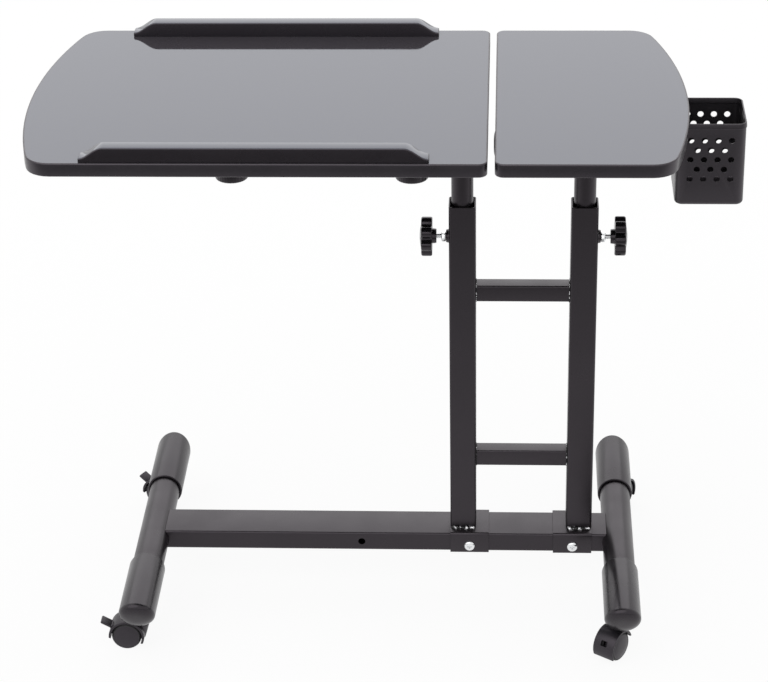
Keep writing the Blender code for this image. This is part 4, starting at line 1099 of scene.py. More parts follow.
@dataclass
class Knob:
    """A clamp knob: a lobed grip, a hub and a zinc stud along +Z of its place."""

    radius: float
    lobes: int
    lobe_depth: float
    lobe_steps: int
    edge: float
    crown: float
    back_share: float = 0.6
    rim_share: float = 0.3
    crown_shares: tuple[float, ...] = (0.6, 0.8, 0.95)
    front_round: float = 1.3
    thread_pitch: float = 0.001
    thread_depth: float = 0.00035
    thread_form: tuple[float, ...] = (0.25, 0.5, 0.65, 0.9)

    def outline(self, inset: float, lobe_share: float = 1.0) -> list[Point]:
        """Lobed outline of the grip.

        Args:
            inset: how far it lies inside the grip's edge.
            lobe_share: how much of the lobes' depth is left.

        Returns:
            The outline's points.
        """
        count = self.lobes * self.lobe_steps
        points = []
        for i in range(count):
            turn = 2 * math.pi * i / count
            dip = self.lobe_depth * ((1 - math.cos(self.lobes * turn)) / 2) ** 2
            reach = self.radius - inset - dip * lobe_share
            points.append((reach * math.cos(turn), reach * math.sin(turn)))
        return points

    def grip(self, skin: Skin, start: float, end: float, place: Matrix) -> None:
        """Add the grip between two heights, crowned at its end.

        Args:
            skin: the skin that gets it.
            start: height of its flat back.
            end: height of its rim in front.
            place: the knob's place.
        """
        profile = fillet([(self.radius * self.back_share, start), (0.0, start), (0.0, end),
                          (self.radius * self.rim_share, end)],
                         [0.0, self.edge, self.edge * self.front_round, 0.0], False)
        rings = [placed(self.outline(inset), z, place) for inset, z in profile]
        for share in self.crown_shares:
            climb = (share - self.rim_share) / (1 - self.rim_share)
            height = end + self.crown * math.sin(math.pi / 2 * climb)
            rings.append(placed(self.outline(self.radius * share, 1 - share), height, place))
        skin.loft(rings)

    def thread(self, start: float, end: float, radius: float) -> list[Point]:
        """Profile of a threaded stud from its tip to the hub.

        Args:
            start: height of the tip.
            end: height where it enters the hub.
            radius: outside radius of the thread.

        Returns:
            Points on the axis at both ends, with a ridge for each turn between.
        """
        root = radius - self.thread_depth
        profile = [(0.0, start), (root, start)]
        turns = int((end - start) / self.thread_pitch)
        for i in range(turns):
            foot = start + i * self.thread_pitch
            profile += [(reach, foot + share * self.thread_pitch)
                        for reach, share in zip((root, radius, radius, root), self.thread_form)]
        return profile + [(root, end), (0.0, end)]


@dataclass
class ClampKnobs:
    """The two height knobs and the two tilt knobs."""

    dresser: Dresser
    height_radius: float = 0.024
    height_hub_radius: float = 0.0085
    height_hub_start: float = 0.0308
    height_hub_length: float = 0.005
    height_hub_flare: float = 0.001
    height_hub_edge: float = 0.0008
    height_stud_radius: float = 0.003
    height_grip: float = 0.013
    height_crown: float = 0.002
    tilt_radius: float = 0.0196
    tilt_hub_radius: float = 0.010
    tilt_hub_length: float = 0.002
    tilt_hub_edge: float = 0.0005
    tilt_stud_radius: float = 0.004
    tilt_stud_sunk: float = 0.001
    tilt_grip: float = 0.013
    tilt_drop: float = 0.0024
    sunk: float = 0.003

    def build(self) -> None:
        """Make all four knobs."""
        for side in Side:
            self.build_height_knob(side)
        for name in ("inner", "outer"):
            self.build_tilt_knob(name)

    def build_height_knob(self, side: Side) -> None:
        """Make a star knob whose stud points at its post."""
        node = f"height_knob_{side.word}"
        low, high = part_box(node)
        axis = self.dresser.frame.joint(f"{node}_spin")
        place = Matrix.Translation(axis) @ side.outward
        knob = Knob(radius=self.height_radius, lobes=7, lobe_depth=0.005, lobe_steps=14, edge=0.0018,
                    crown=self.height_crown)
        hub_start = self.height_hub_start
        hub_end = hub_start + self.height_hub_length
        inside = hub_end + self.sunk
        skin = Skin()
        knob.grip(skin, hub_end, hub_end + self.height_grip, place)
        hub = fillet([(0.0, hub_start), (self.height_hub_radius, hub_start),
                      (self.height_hub_radius + self.height_hub_flare, inside), (0.0, inside)],
                     [0.0, self.height_hub_edge, 0.0, 0.0], False)
        skin.lathe(hub, place, SMALL_TURN_STEPS)
        tip = min(abs(low.x - axis.x), abs(high.x - axis.x))
        stud = knob.thread(tip, hub_start + self.sunk, self.height_stud_radius)
        skin.lathe(stud, place, SMALL_TURN_STEPS, (1,))
        finishes = self.dresser.finishes
        self.dresser.dress(node, "star", skin.mesh(node), f"{node}_turn", Slot.PLASTIC,
                           finishes.grip, finishes.zinc)

    def build_tilt_knob(self, name: str) -> None:
        """Make a round knob that hangs from a tilt clamp."""
        node = f"tilt_knob_{name}"
        low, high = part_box(node)
        axis = self.dresser.frame.joint(f"{node}_spin")
        place = Matrix.Translation((axis.x, axis.y, high.z)) @ UPSIDE_DOWN
        knob = Knob(radius=self.tilt_radius, lobes=36, lobe_depth=0.0003, lobe_steps=4, edge=0.0016,
                    crown=0.0)
        bottom = high.z - low.z + self.tilt_drop
        grip_top = bottom - self.tilt_grip
        hub_top = grip_top - self.tilt_hub_length
        inside = grip_top + self.sunk
        skin = Skin()
        knob.grip(skin, grip_top, bottom, place)
        hub = fillet([(0.0, hub_top), (self.tilt_hub_radius, hub_top), (self.tilt_hub_radius, inside),
                      (0.0, inside)], [0.0, self.tilt_hub_edge, 0.0, 0.0], False)
        skin.lathe(hub, place, SMALL_TURN_STEPS)
        stud = knob.thread(0.0, hub_top + self.tilt_stud_sunk, self.tilt_stud_radius)
        skin.lathe(stud, place, SMALL_TURN_STEPS, (1,))
        finishes = self.dresser.finishes
        self.dresser.dress(node, "round", skin.mesh(node), f"{node}_turn", Slot.PLASTIC,
                           finishes.grip, finishes.zinc)


@dataclass
class Columns:
    """Posts with their cross tubes, plugs, clamps and saddles under the worktops."""

    dresser: Dresser
    post_radius: float = 0.013
    tube_radius: float = 0.016
    wall: float = 0.0015
    plug_dome: float = 0.007
    plug_flat: float = 0.5
    dome_steps: int = 12
    clamp_edge: float = 0.0007

    def build(self) -> None:
        """Make both columns, the clamps and the saddles."""
        for side in Side:
            self.build_post(side)
            for end in Side:
                self.build_plug(f"tube_plug_{side.word}_{end.word}", side, end)
        for node, body in (("tilt_clamp_inner", "large_top"), ("tilt_clamp_outer", "large_top"),
                           ("tube_saddle_inner", "right_column"), ("tube_saddle_outer", "right_column")):
            mesh = bevelled(self.dresser.frame.copy_of(node), self.clamp_edge)
            self.dresser.dress(node, "moulding", mesh, body, Slot.PLASTIC, self.dresser.finishes.nylon)

    def build_post(self, side: Side) -> None:
        """Make a post, its cross tube and the weld between them."""
        post, tube = f"post_{side.word}", f"cross_tube_{side.word}"
        body = f"{side.word}_column"
        finish = self.dresser.finishes.powder_coat
        top = self.dresser.frame.joint(f"{side.word}_height")
        foot = self.dresser.frame.low(post).z - top.z
        roof = self.wall - self.tube_radius
        mesh = round_tube(self.post_radius, self.wall, foot, roof, Matrix.Translation(top))
        self.dresser.dress(post, "round", mesh, body, Slot.POWDER_COAT, finish)
        low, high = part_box(tube)
        place = Matrix.Translation((low.x, top.y, top.z)) @ ALONG_X
        mesh = round_tube(self.tube_radius, self.wall, 0.0, high.x - low.x, place)
        self.dresser.dress(tube, "round", mesh, body, Slot.POWDER_COAT, finish)
        ring = []
        for x, y in circle(self.post_radius, TURN_STEPS):
            ring.append(top + Vector((x, y, -math.sqrt(self.tube_radius ** 2 - y ** 2))))
        Welds(self.dresser).lay(f"{tube}_weld", body, [ring])

    def build_plug(self, node: str, side: Side, end: Side) -> None:
        """Make a domed plug on one end of a cross tube."""
        low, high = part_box(node)
        middle = self.dresser.frame.middle(node)
        outer = high.x if end is Side.RIGHT else low.x
        length = high.x - low.x
        lip = (high.z - low.z) / 2
        spigot = self.tube_radius - 2 * self.wall
        dome = [(lip * math.sin(t) ** self.plug_flat, -self.plug_dome + self.plug_dome * math.cos(t))
                for t in [math.pi / 2 * i / self.dome_steps for i in range(self.dome_steps + 1)]]
        profile = dome + [(spigot, -self.plug_dome), (spigot, -length), (0.0, -length)]
        place = Matrix.Translation((outer, middle.y, middle.z)) @ end.outward
        mesh = Skin().lathe(profile, place).mesh(node)
        self.dresser.dress(node, "cap", mesh, f"{side.word}_column", Slot.PLASTIC,
                           self.dresser.finishes.nylon)


@dataclass
class Feet:
    """Crossbar, foot tubes and sleeve caps."""

    dresser: Dresser
    wall: float = 0.0015
    bar_corner: float = 0.0026
    spare_hole_radius: float = 0.0045
    spare_hole_offset: float = 0.127
    tube_clearance: float = 0.0003
    cap_wall: float = 0.0027
    cap_length: float = 0.1127
    cap_end_wall: float = 0.018
    cap_dome: float = 0.012
    cap_fullness: float = 0.7
    cap_lean: float = math.radians(24)
    cap_lip: float = 0.0012
    cap_inner_lip: float = 0.00072
    dome_steps: int = 20

    def build(self) -> None:
        """Make the crossbar and both foot tubes with their caps."""
        self.build_crossbar()
        for side in Side:
            self.build_tube(side)
            for end, outward in (("front", -1), ("rear", 1)):
                self.build_cap(f"foot_cap_{end}_{side.word}", outward)

    def tube_radius(self) -> float:
        """Outside radius of a foot tube."""
        low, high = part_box("foot_tube_left")
        return (high.x - low.x) / 2

    def build_crossbar(self) -> None:
        """Make the crossbar, coped round the foot tubes, with its spare hole."""
        low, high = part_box("crossbar")
        feet = [self.dresser.frame.middle(f"foot_tube_{side.word}") for side in Side]
        place = Matrix.Translation((feet[0].x, 0.0, feet[0].z)) @ ALONG_X
        bar = box_tube(high.z - low.z, high.y - low.y, self.wall, self.bar_corner,
                       feet[1].x - feet[0].x, place)
        reach = high.y - low.y + 2 * CUT_MARGIN
        cope = self.tube_radius() + self.tube_clearance
        tools = []
        for foot in feet:
            across = Matrix.Translation((foot.x, -reach / 2, foot.z)) @ ALONG_Y
            tools.append(cylinder(cope, 0.0, reach, across, TURN_STEPS))
        hole_x = self.dresser.frame.joint("left_height").x - self.spare_hole_offset
        hole = Matrix.Translation((hole_x, low.y - CUT_MARGIN, feet[0].z)) @ ALONG_Y
        tools.append(cylinder(self.spare_hole_radius, 0.0, 2 * CUT_MARGIN, hole))
        self.dresser.dress("crossbar", "tube", carved(bar, tools), "base_frame", Slot.POWDER_COAT,
                           self.dresser.finishes.powder_coat)

    def build_tube(self, side: Side) -> None:
        """Make one foot tube."""
        node = f"foot_tube_{side.word}"
        low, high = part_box(node)
        middle = self.dresser.frame.middle(node)
        place = Matrix.Translation((middle.x, low.y, middle.z)) @ ALONG_Y
        mesh = round_tube(self.tube_radius(), self.wall, 0.0, high.y - low.y, place)
        self.dresser.dress(node, "round", mesh, "base_frame", Slot.POWDER_COAT,
                           self.dresser.finishes.powder_coat)

    def build_cap(self, node: str, outward: int) -> None:
        """Make one sleeve cap with a rolled mouth and a domed end that leans out at its top.

        Args:
            node: the cap's node.
            outward: 1 where its end faces +Y, -1 where it faces -Y.
        """
        low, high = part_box(node)
        middle = self.dresser.frame.middle(node)
        radius, length = (high.x - low.x) / 2, self.cap_length
        mouth_y = low.y if outward > 0 else high.y
        bore = radius - self.cap_wall
        profile = []
        for i in range(self.dome_steps + 1):
            share = math.pi / 2 * i / self.dome_steps
            profile.append((radius * math.sin(share) ** self.cap_fullness,
                            length - self.cap_dome + self.cap_dome * math.cos(share)))
        mouth = fillet([profile[-1], (radius, 0.0), (bore, 0.0), (bore, length - self.cap_end_wall)],
                       [0.0, self.cap_lip, self.cap_inner_lip, 0.0], False)
        profile += mouth[1:] + [(0.0, length - self.cap_end_wall)]
        turn = ALONG_Y if outward > 0 else ALONG_MINUS_Y
        mesh = Skin().lathe(profile, Matrix.Translation((middle.x, mouth_y, middle.z)) @ turn).mesh(node)
        for vertex in mesh.vertices:
            if abs(vertex.co.y - mouth_y) > length - self.cap_dome - self.tube_clearance:
                vertex.co.y += outward * math.tan(self.cap_lean) * (vertex.co.z - middle.z)
        self.dresser.dress(node, "sleeve", mesh, "base_frame", Slot.CAP, self.dresser.finishes.cap)


@dataclass
class Caster:
    """One hooded twin-wheel caster, with a brake lever where the model has one."""

    dresser: Dresser
    name: str
    hood_width: float = 0.028
    hood_wall: float = 0.0025
    hood_clearance: float = 0.0012
    web: float = 0.0052
    braked_leading_drop: float = math.radians(25)
    plain_leading_drop: float = math.radians(-18)
    plain_trailing_drop: float = math.radians(25)
    braked_trailing_drop: float = math.radians(2)
    hub_reach: float = 0.006
    hood_edge: float = 0.0008
    boss_radius: float = 0.009
    boss_height: float = 0.0095
    nose_radius: float = 0.003
    nose_height: float = 0.020
    socket_edge: float = 0.001
    socket_blend: float = 0.006
    stem_hole: float = 0.0044
    stem_edge: float = 0.0005
    collar_edge: float = 0.0006
    lever_width: float = 0.0134
    lever_slot: float = 0.0070
    slot_corner: float = 0.0008
    open_slot_width: float = 0.0085
    open_slot_depth: float = 0.005
    lever_barrel: float = 0.0022
    lever_angle: float = math.radians(28)
    pedal_angle: float = math.radians(30)
    pedal_length: float = 0.015
    pedal_thickness: float = 0.0032
    pedal_corner: float = 0.0008
    pedal_tip: float = 0.001
    tip_taper: Point = (0.8, 0.92)
    running_gap: float = 0.0004
    hood_steps: int = 44
    wheel_width: float = 0.0108
    # Inside the radius and in front of the back face
    wheel_back: tuple[Point, ...] = ((0.0016, 0.0), (0.0, 0.0012))
    # Inside the radius and behind the front face, from the tread over the shoulder to the rim's groove
    wheel_rim: tuple[Point, ...] = ((0.0, 0.0034), (0.0006, 0.0022), (0.0024, 0.0010),
                                    (0.0032, 0.0012), (0.0040, 0.0009))
    # Share of the radius and distance behind the front face, across the disc and the hub cap
    wheel_disc: tuple[Point, ...] = ((0.45, 0.0003), (0.20, 0.0), (0.0, 0.0))
    wheel_slots: tuple[int, ...] = (0, 1, 1, 1, 1, 0)

    def __post_init__(self) -> None:
        frame = self.dresser.frame
        self.stem = frame.joint(f"caster_{self.name}_swivel")
        self.axle = frame.joint(f"wheel_{self.name}_a_roll")
        self.wheel_radius = self.axle.z
        self.trail = (self.axle - self.stem).xy.length
        across = frame.axis(f"wheel_{self.name}_a_roll")
        along = (self.axle - self.stem).normalized()
        along.z = 0.0
        self.place = Matrix.Translation((self.stem.x, self.stem.y, 0.0)) @ Matrix(
            (along, across, Vector((0, 0, 1)))).transposed().to_4x4()
        self.braked = f"brake_{self.name}_press" in frame.joints
        self.hub = self.place @ Matrix.Translation((self.trail, 0.0, self.wheel_radius))
        self.across_axle = self.hub @ ALONG_MINUS_Y
        self.hood_bore = self.wheel_radius + self.hood_clearance
        self.hood_radius = self.hood_bore + self.hood_wall

    def build(self) -> None:
        """Make the caster's stem, hood, wheels and brake."""
        self.build_stem()
        self.build_hood()
        self.dresser.paint(f"caster_axle_{self.name}", self.dresser.finishes.zinc)
        for label in ("a", "b"):
            self.build_wheel(label)
        if self.braked:
            self.build_lever()

    def build_stem(self) -> None:
        """Make the zinc stem with its collar under the foot cap."""
        node = f"caster_stem_{self.name}"
        low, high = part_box(node)
        collar = (high.x - low.x) / 2
        shank = self.stem_hole - self.running_gap
        collar_top = self.dresser.frame.low(f"foot_cap_{self.name}").z - SEAT_GAP
        collar_foot = self.dresser.frame.high(f"caster_hood_{self.name}").z + SEAT_GAP
        edge, collar_edge = self.stem_edge, self.collar_edge
        profile = fillet([(0.0, low.z), (shank, low.z), (shank, collar_foot), (collar, collar_foot),
                          (collar, collar_top), (shank, collar_top), (shank, high.z), (0.0, high.z)],
                         [0.0, edge, 0.0, collar_edge, collar_edge, 0.0, edge, 0.0], False, EDGE_STEPS)
        place = Matrix.Translation((self.stem.x, self.stem.y, 0.0))
        mesh = Skin().lathe(profile, place, SMALL_TURN_STEPS).mesh(node)
        self.dresser.dress(node, "pin", mesh, "base_frame", Slot.ZINC, self.dresser.finishes.zinc)

    def hood_outline(self, inset: float) -> list[Point]:
        """Side view of the hood round the axle.

        Args:
            inset: how far it lies inside the hood's edge.

        Returns:
            An arc over the wheels, closed below by the web's lower edges.
        """
        trailing = self.braked_trailing_drop if self.braked else self.plain_trailing_drop
        leading = self.braked_leading_drop if self.braked else self.plain_leading_drop
        outside = arc((0.0, 0.0), self.hood_radius - inset, -trailing, math.pi + leading, self.hood_steps)
        if self.braked:
            return outside + [(0.0, outside[-1][1])]
        return outside + [(-self.hub_reach, outside[-1][1]), (-self.hub_reach, outside[0][1])]

    def build_hood(self) -> None:
        """Make the hood: a drum over both wheels with a tapered stem socket."""
        node = f"caster_hood_{self.name}"
        half, edge = self.hood_width / 2, self.hood_edge
        layers = fillet([(self.hood_wall, -half), (0.0, -half), (0.0, half), (self.hood_wall, half)],
                        [0.0, edge, edge, 0.0], False, EDGE_STEPS)[1:-1]
        rings = [placed(self.hood_outline(inset), y, self.across_axle) for inset, y in layers]
        drum = Skin().loft(rings).mesh("drum")
        top = self.dresser.frame.high(node).z
        foot = top - self.boss_height
        point = foot - self.nose_height
        profile = fillet([(0.0, point), (self.nose_radius, point), (self.boss_radius, foot),
                          (self.boss_radius, top), (0.0, top)],
                         [0.0, self.socket_edge, self.socket_blend, self.socket_edge, 0.0], False)
        socket = Skin().lathe(profile, self.place, SMALL_TURN_STEPS).mesh("socket")
        body = carved(drum, [socket], "UNION")
        tools = []
        for side in (1, -1):
            start, end = side * self.web / 2, side * (half + CUT_MARGIN)
            tools.append(cylinder(self.hood_bore, start, end, self.across_axle, TURN_STEPS))
        socket_foot = self.place @ Matrix.Translation((0.0, 0.0, foot))
        tools.append(cylinder(self.stem_hole, 0.0, self.boss_height, socket_foot))
        reach = self.hood_radius - self.hood_wall / 2 - self.lever_barrel - self.running_gap
        width = self.lever_width + 2 * self.running_gap
        if not self.braked:
            reach, width = reach - self.open_slot_depth, self.open_slot_width
        slot = self.hub @ Matrix.Rotation(-self.lever_angle, 4, "Y") @ ALONG_X
        outline = rounded_rectangle(self.lever_slot, width, self.slot_corner)
        outer = self.hood_radius + CUT_MARGIN
        tools.append(Skin().loft([placed(outline, reach, slot), placed(outline, outer, slot)]).mesh("slot"))
        self.dresser.dress(node, "drum", carved(body, tools), f"caster_{self.name}", Slot.PLASTIC,
                           self.dresser.finishes.nylon)

    def build_wheel(self, label: str) -> None:
        """Make one wheel with a tread, a shallow dished disc and a hub cap.

        Args:
            label: a for the wheel on the axle's +Y side, b for the other.
        """
        node = f"caster_wheel_{self.name}_{label}"
        radius = self.wheel_radius
        back = self.web / 2 + self.running_gap
        front = back + self.wheel_width
        profile = [(0.0, back)]
        profile += [(radius - inset, back + rise) for inset, rise in self.wheel_back]
        profile += [(radius - inset, front - drop) for inset, drop in self.wheel_rim]
        profile += [(radius * share, front - drop) for share, drop in self.wheel_disc]
        turn = self.across_axle @ (UPSIDE_DOWN if label == "a" else Matrix())
        mesh = Skin().lathe(profile, turn, TURN_STEPS, self.wheel_slots).mesh(node)
        finishes = self.dresser.finishes
        self.dresser.dress(node, "disc", mesh, f"wheel_{self.name}_{label}", Slot.PLASTIC,
                           finishes.nylon, finishes.tread)

    def build_lever(self) -> None:
        """Make the brake lever: a barrel in the hood's slot and a flat pedal."""
        node = f"brake_lever_{self.name}"
        pivot = self.dresser.frame.joint(f"brake_{self.name}_press")
        place = Matrix.Translation(pivot) @ self.place.to_3x3().to_4x4()
        half = self.lever_width / 2
        barrel = cylinder(self.lever_barrel, -half, half, place @ ALONG_MINUS_Y)
        lean = place @ Matrix.Rotation(-self.pedal_angle, 4, "Y") @ ALONG_X
        outline = rounded_rectangle(self.pedal_thickness, self.lever_width, self.pedal_corner)
        tip = [(x * self.tip_taper[0], y * self.tip_taper[1]) for x, y in outline]
        rings = [placed(outline, 0.0, lean), placed(outline, self.pedal_length - self.pedal_tip, lean),
                 placed(tip, self.pedal_length, lean)]
        lever = carved(barrel, [Skin().loft(rings).mesh("pedal")], "UNION")
        self.dresser.dress(node, "pedal", lever, f"brake_{self.name}", Slot.PLASTIC,
                           self.dresser.finishes.nylon)


@dataclass
class PenBasket:
    """A deep-drawn basket with a rim band, punched holes and a bent screw tab."""

    dresser: Dresser
    node: str = "pen_basket"
    width: float = 0.081
    wall: float = 0.0012
    corner: float = 0.010
    least_corner: float = 0.001
    floor_radius: float = 0.0045
    floor_inset: float = 0.012
    rim_height: float = 0.0068
    rim_proud: float = 0.0008
    rim_step: float = 0.0007
    rim_lean: float = 0.0006
    # Rounds of the hem's foot, its step and its top
    rim_rounds: tuple[float, ...] = (0.0004, 0.0005, 0.0007)
    drop: float = 0.005
    tab_width: float = 0.040
    tab_bend: float = 0.0018
    tab_edge: float = 0.0003
    hole_radius: float = 0.0036
    hole_pitch: float = 0.0155
    row_pitch: float = 0.0120
    first_row: float = 0.0205
    long_row: int = 4
    long_rows: int = 3
    height: float = 0.102

    def shell_rings(self, middle: Vector, depth: float, top: float) -> list[Ring]:
        """Rings of the shell, from the middle of its floor up, over the rim and down inside.

        Args:
            middle: middle of the basket in plan.
            depth: its size along Y.
            top: height of the rim.

        Returns:
            The rings in order.
        """
        bottom = top - self.height
        floor = bottom + self.wall
        hem_foot = top - self.rim_height
        hem_step = hem_foot + self.rim_step
        inside = self.rim_proud + self.wall
        hem = inside + self.rim_proud
        profile = fillet([(self.floor_inset, bottom), (self.rim_proud, bottom), (self.rim_proud, hem_foot),
                          (0.0, hem_step), (self.rim_lean, top), (hem - self.rim_lean, top),
                          (hem, hem_step), (inside, hem_foot), (inside, floor), (self.floor_inset, floor)],
                         [0.0, self.floor_radius, *self.rim_rounds, *reversed(self.rim_rounds),
                          self.floor_radius - self.wall, 0.0], False, EDGE_STEPS)
        place = Matrix.Translation((middle.x, middle.y, 0.0))
        rings = []
        for inset, z in profile:
            outline = rounded_rectangle(self.width - 2 * inset, depth - 2 * inset,
                                        max(self.corner - inset, self.least_corner))
            rings.append(placed(outline, z, place))
        return rings

    def build(self) -> None:
        """Make the basket and punch it."""
        low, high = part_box(self.node)
        top = high.z - self.drop + SEAT_GAP
        middle = Vector((high.x - self.width / 2, (low.y + high.y) / 2, 0.0))
        shell = Skin().loft(self.shell_rings(middle, high.y - low.y, top)).mesh("shell")
        left, foot = high.x - self.width, top - self.rim_height / 2
        outline = fillet([(left + self.wall, foot), (left + self.wall, high.z), (low.x, high.z),
                          (low.x, high.z - self.wall), (left, high.z - self.wall), (left, foot)],
                         [0.0, self.tab_bend, self.tab_edge, self.tab_edge,
                          self.tab_bend - self.wall, 0.0])
        half = self.tab_width / 2
        sides = [[Vector((x, middle.y + y, z)) for x, z in outline] for y in (-half, half)]
        body = carved(shell, [Skin().loft(sides).mesh("tab")], "UNION")
        last_row = self.first_row + 2 * (self.long_rows - 1) * self.row_pitch
        holes = Vector((middle.x, middle.y, top - (self.first_row + last_row) / 2))
        punched = grown(body, perforation_tree(), {
            "Hole radius": self.hole_radius, "Hole pitch": self.hole_pitch, "Row pitch": self.row_pitch,
            "Long row": self.long_row, "Long rows": self.long_rows, "Reach": high.y - low.y + CUT_MARGIN,
            "Middle": holes, "Material": self.dresser.finishes.sheet_coat})
        self.dresser.dress(self.node, "shell", smooth(punched), "right_column", Slot.POWDER_COAT)


@dataclass(frozen=True)
class PhotoCamera:
    """The camera that took the photograph, as fitted to its straight edges."""

    place: tuple[float, float, float] = (0.13964, -2.78147, 1.81902)
    pitch: float = math.radians(28.027)
    yaw: float = math.radians(3.072)
    roll: float = math.radians(-1.128)
    focal_pixels: float = 2601.63
    width_pixels: float = 768.0
    sensor: float = 36.0

    def build(self) -> None:
        """Make the camera and set it as the scene's."""
        right = Vector((math.cos(self.yaw), math.sin(self.yaw), 0.0))
        level = math.cos(self.pitch)
        ahead = Vector((-math.sin(self.yaw) * level, math.cos(self.yaw) * level, -math.sin(self.pitch)))
        up = right.cross(ahead)
        across = right * math.cos(self.roll) + up * math.sin(self.roll)
        above = up * math.cos(self.roll) - right * math.sin(self.roll)
        data = bpy.data.cameras.new("photo_camera")
        data.sensor_fit = "HORIZONTAL"
        data.sensor_width = self.sensor
        data.lens = self.focal_pixels / self.width_pixels * self.sensor
        camera = bpy.data.objects.new("photo_camera", data)
        turn = Matrix((across, above, -ahead)).transposed().to_4x4()
        camera.matrix_world = Matrix.Translation(self.place) @ turn
        bpy.context.scene.collection.objects.link(camera)
        bpy.context.scene.camera = camera


@dataclass(frozen=True)
class Studio:
    """A white sweep in even soft light, with a soft key above and a wide softbox behind the table.

    The sweep ends some way in front of the table, so glossy fronts darken with their height.
    """

    ambient: float = 0.62
    key_strength: float = 1.0
    key_spread: float = math.radians(70)
    key_turn: tuple[float, float, float] = (math.radians(28), math.radians(-22), 0.0)
    softbox_place: tuple[float, float, float] = (-0.15, 2.3, 1.75)
    softbox_aim: tuple[float, float, float] = (0.0, 0.0, 0.6)
    softbox_width: float = 3.4
    softbox_height: float = 1.7
    softbox_radiance: float = 0.89
    floor_size: float = 14.0
    floor_colour: str = "#F8F8F8"
    floor_glow: float = 0.92
    floor_mirror_glow: float = 0.85
    sweep_end: tuple[float, float] = (-1.7, -0.35)
    past_sweep: float = 0.08

    def build(self) -> None:
        """Make the world, the lamps and the floor."""
        bpy.context.scene.view_settings.view_transform = "Standard"
        self.build_world()
        key = bpy.data.lights.new("key", "SUN")
        key.energy = self.key_strength
        key.angle = self.key_spread
        lamp = bpy.data.objects.new("key", key)
        lamp.rotation_euler = self.key_turn
        bpy.context.scene.collection.objects.link(lamp)
        self.build_softbox()
        self.build_floor()

    @staticmethod
    def by_ray(tree: bpy.types.NodeTree, straight: float, mirrored: float | bpy.types.NodeSocket,
               otherwise: float) -> bpy.types.NodeSocket:
        """Value that depends on how a ray reached the background.

        Args:
            tree: node tree that gets the nodes.
            straight: value for the camera's own rays.
            mirrored: value for reflected and transmitted rays.
            otherwise: value for the rays that light the object.

        Returns:
            The value's socket.
        """
        rays = add_node(tree, "ShaderNodeLightPath").outputs
        mirror = worked_out(tree, "MAXIMUM", rays["Is Glossy Ray"], rays["Is Transmission Ray"])
        unseen = add_node(tree, "ShaderNodeMapRange", inputs={
            "Value": mirror, "To Min": otherwise, "To Max": mirrored})
        seen = add_node(tree, "ShaderNodeMapRange", inputs={
            "Value": rays["Is Camera Ray"], "To Min": unseen.outputs["Result"], "To Max": straight})
        return seen.outputs["Result"]

    def build_world(self) -> None:
        """Make a world that looks white but lights the object more gently."""
        world = bpy.data.worlds.new("white_studio")
        bpy.context.scene.world = world
        world.use_nodes = True
        tree = world.node_tree
        background = tree.nodes["Background"]
        background.inputs["Color"].default_value = (1.0, 1.0, 1.0, 1.0)
        tree.links.new(self.by_ray(tree, 1.0, 1.0, self.ambient), background.inputs["Strength"])

    def build_softbox(self) -> None:
        """Hang the softbox that the level glossy surfaces mirror."""
        data = bpy.data.lights.new("softbox", "AREA")
        data.shape = "RECTANGLE"
        data.size = self.softbox_width
        data.size_y = self.softbox_height
        data.energy = math.pi * self.softbox_radiance * self.softbox_width * self.softbox_height
        softbox = bpy.data.objects.new("softbox", data)
        softbox.location = self.softbox_place
        aim = Vector(self.softbox_aim) - Vector(self.softbox_place)
        softbox.rotation_euler = aim.to_track_quat("-Z", "Y").to_euler()
        softbox.visible_camera = False
        bpy.context.scene.collection.objects.link(softbox)

    def build_floor(self) -> None:
        """Make the white floor, which keeps the table's soft shadow."""
        half = self.floor_size / 2
        mesh = bpy.data.meshes.new("floor")
        mesh.from_pydata([(-half, -half, 0.0), (half, -half, 0.0), (half, half, 0.0), (-half, half, 0.0)],
                         [], [(0, 1, 2, 3)])
        floor = bpy.data.objects.new("studio_floor", mesh)
        bpy.context.scene.collection.objects.link(floor)
        # Rolled paper sweep: matte white, overexposed as in a catalogue picture
        paper = Finish("matte_paper_sweep", self.floor_colour, self.floor_colour, 0.85, 0.02,
                       0.002, 0.00001, specular=0.1).build()
        tree = paper.node_tree
        place = add_node(tree, "ShaderNodeTexCoord").outputs["Object"]
        along = add_node(tree, "ShaderNodeSeparateXYZ", inputs={0: place})
        sweep = add_node(tree, "ShaderNodeMapRange", inputs={
            "Value": along.outputs["Y"], "From Min": self.sweep_end[0], "From Max": self.sweep_end[1],
            "To Min": self.past_sweep, "To Max": 1.0})
        glow = add_node(tree, "ShaderNodeEmission", inputs={
            "Strength": self.by_ray(tree, 1.0, sweep.outputs["Result"], 1.0)})
        mixed = add_node(tree, "ShaderNodeMixShader", inputs={
            0: self.by_ray(tree, self.floor_glow, self.floor_mirror_glow, 0.0),
            1: tree.nodes["Principled BSDF"].outputs["BSDF"], 2: glow.outputs["Emission"]})
        tree.links.new(mixed.outputs[0], tree.nodes["Material Output"].inputs["Surface"])
        mesh.materials.append(paper)


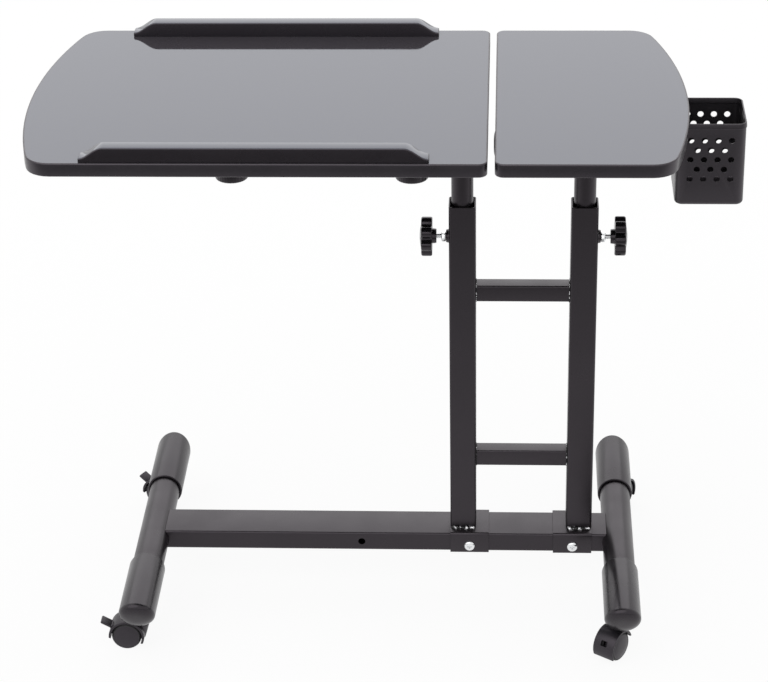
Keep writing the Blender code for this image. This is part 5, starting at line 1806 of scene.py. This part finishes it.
@dataclass
class TableScrews:
    """Screws under the boards, in clamps, saddles and the basket's tab, and those of the brackets."""

    dresser: Dresser
    reach_x: float = 0.021
    reach_y: float = 0.023
    flange: float = 0.004
    tab_inset: float = 0.009
    tab_reach: float = 0.012
    tab_wall: float = 0.0012
    board_size: float = 0.62
    bracket_size: float = 1.0

    def flange_points(self, nodes: Sequence[str]) -> list[Vector]:
        """Corners of the flanges' undersides where the heads seat."""
        points = []
        for node in nodes:
            low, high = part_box(node)
            middle = (low + high) / 2
            for x in (-self.reach_x, self.reach_x):
                for y in (-self.reach_y, self.reach_y):
                    points.append(Vector((middle.x + x, middle.y + y, high.z - self.flange)))
        return points

    def build(self) -> None:
        """Set the screws of both worktops and of both brackets."""
        down = Vector((0.0, 0.0, -1.0))
        forward = Vector((0.0, -1.0, 0.0))
        fasteners = Fasteners(self.dresser)
        points = self.flange_points(("tilt_clamp_inner", "tilt_clamp_outer"))
        fasteners.set("clamp_screws", "large_top", points, down, self.board_size)
        points = self.flange_points(("tube_saddle_inner", "tube_saddle_outer"))
        low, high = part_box("pen_basket")
        middle_y = (low.y + high.y) / 2
        for y in (-self.tab_reach, self.tab_reach):
            points.append(Vector((low.x + self.tab_inset, middle_y + y, high.z - self.tab_wall)))
        fasteners.set("saddle_screws", "right_column", points, down, self.board_size)
        seats = []
        for side in Side:
            node = f"bracket_screw_{side.word}"
            bracket = self.dresser.frame.low(f"saddle_bracket_{side.word}")
            middle = self.dresser.frame.middle(node)
            seats.append(Vector((middle.x, bracket.y, middle.z)))
        fasteners.set("bracket_screws", "base_frame", seats, forward, self.bracket_size,
                      ["bracket_screw_left", "bracket_screw_right"])


def main() -> None:
    """Dress the table, piece by piece, and set up its picture."""
    logging.basicConfig(level=logging.INFO, format="%(name)s: %(message)s")
    for obj in list(bpy.data.objects):
        bpy.data.objects.remove(obj, do_unlink=True)
    frame = Frame()
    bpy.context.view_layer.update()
    dresser = Dresser(frame, Finishes())
    PhotoCamera().build()
    Studio().build()
    Worktop(dresser, "worktop_large", "large_top", Side.LEFT).build()
    Worktop(dresser, "worktop_small", "right_column", Side.RIGHT).build()
    StopBar(dresser, "stop_bar_front", left_reach=0.0028, right_reach=0.0035).build()
    StopBar(dresser, "stop_bar_rear", left_reach=-0.0044, right_reach=-0.0013).build()
    Ladder(dresser).build()
    ClampKnobs(dresser).build()
    Columns(dresser).build()
    Feet(dresser).build()
    for name in ("front_left", "rear_left", "front_right", "rear_right"):
        Caster(dresser, name).build()
    PenBasket(dresser).build()
    TableScrews(dresser).build()


if __name__ == "__main__":
    main()
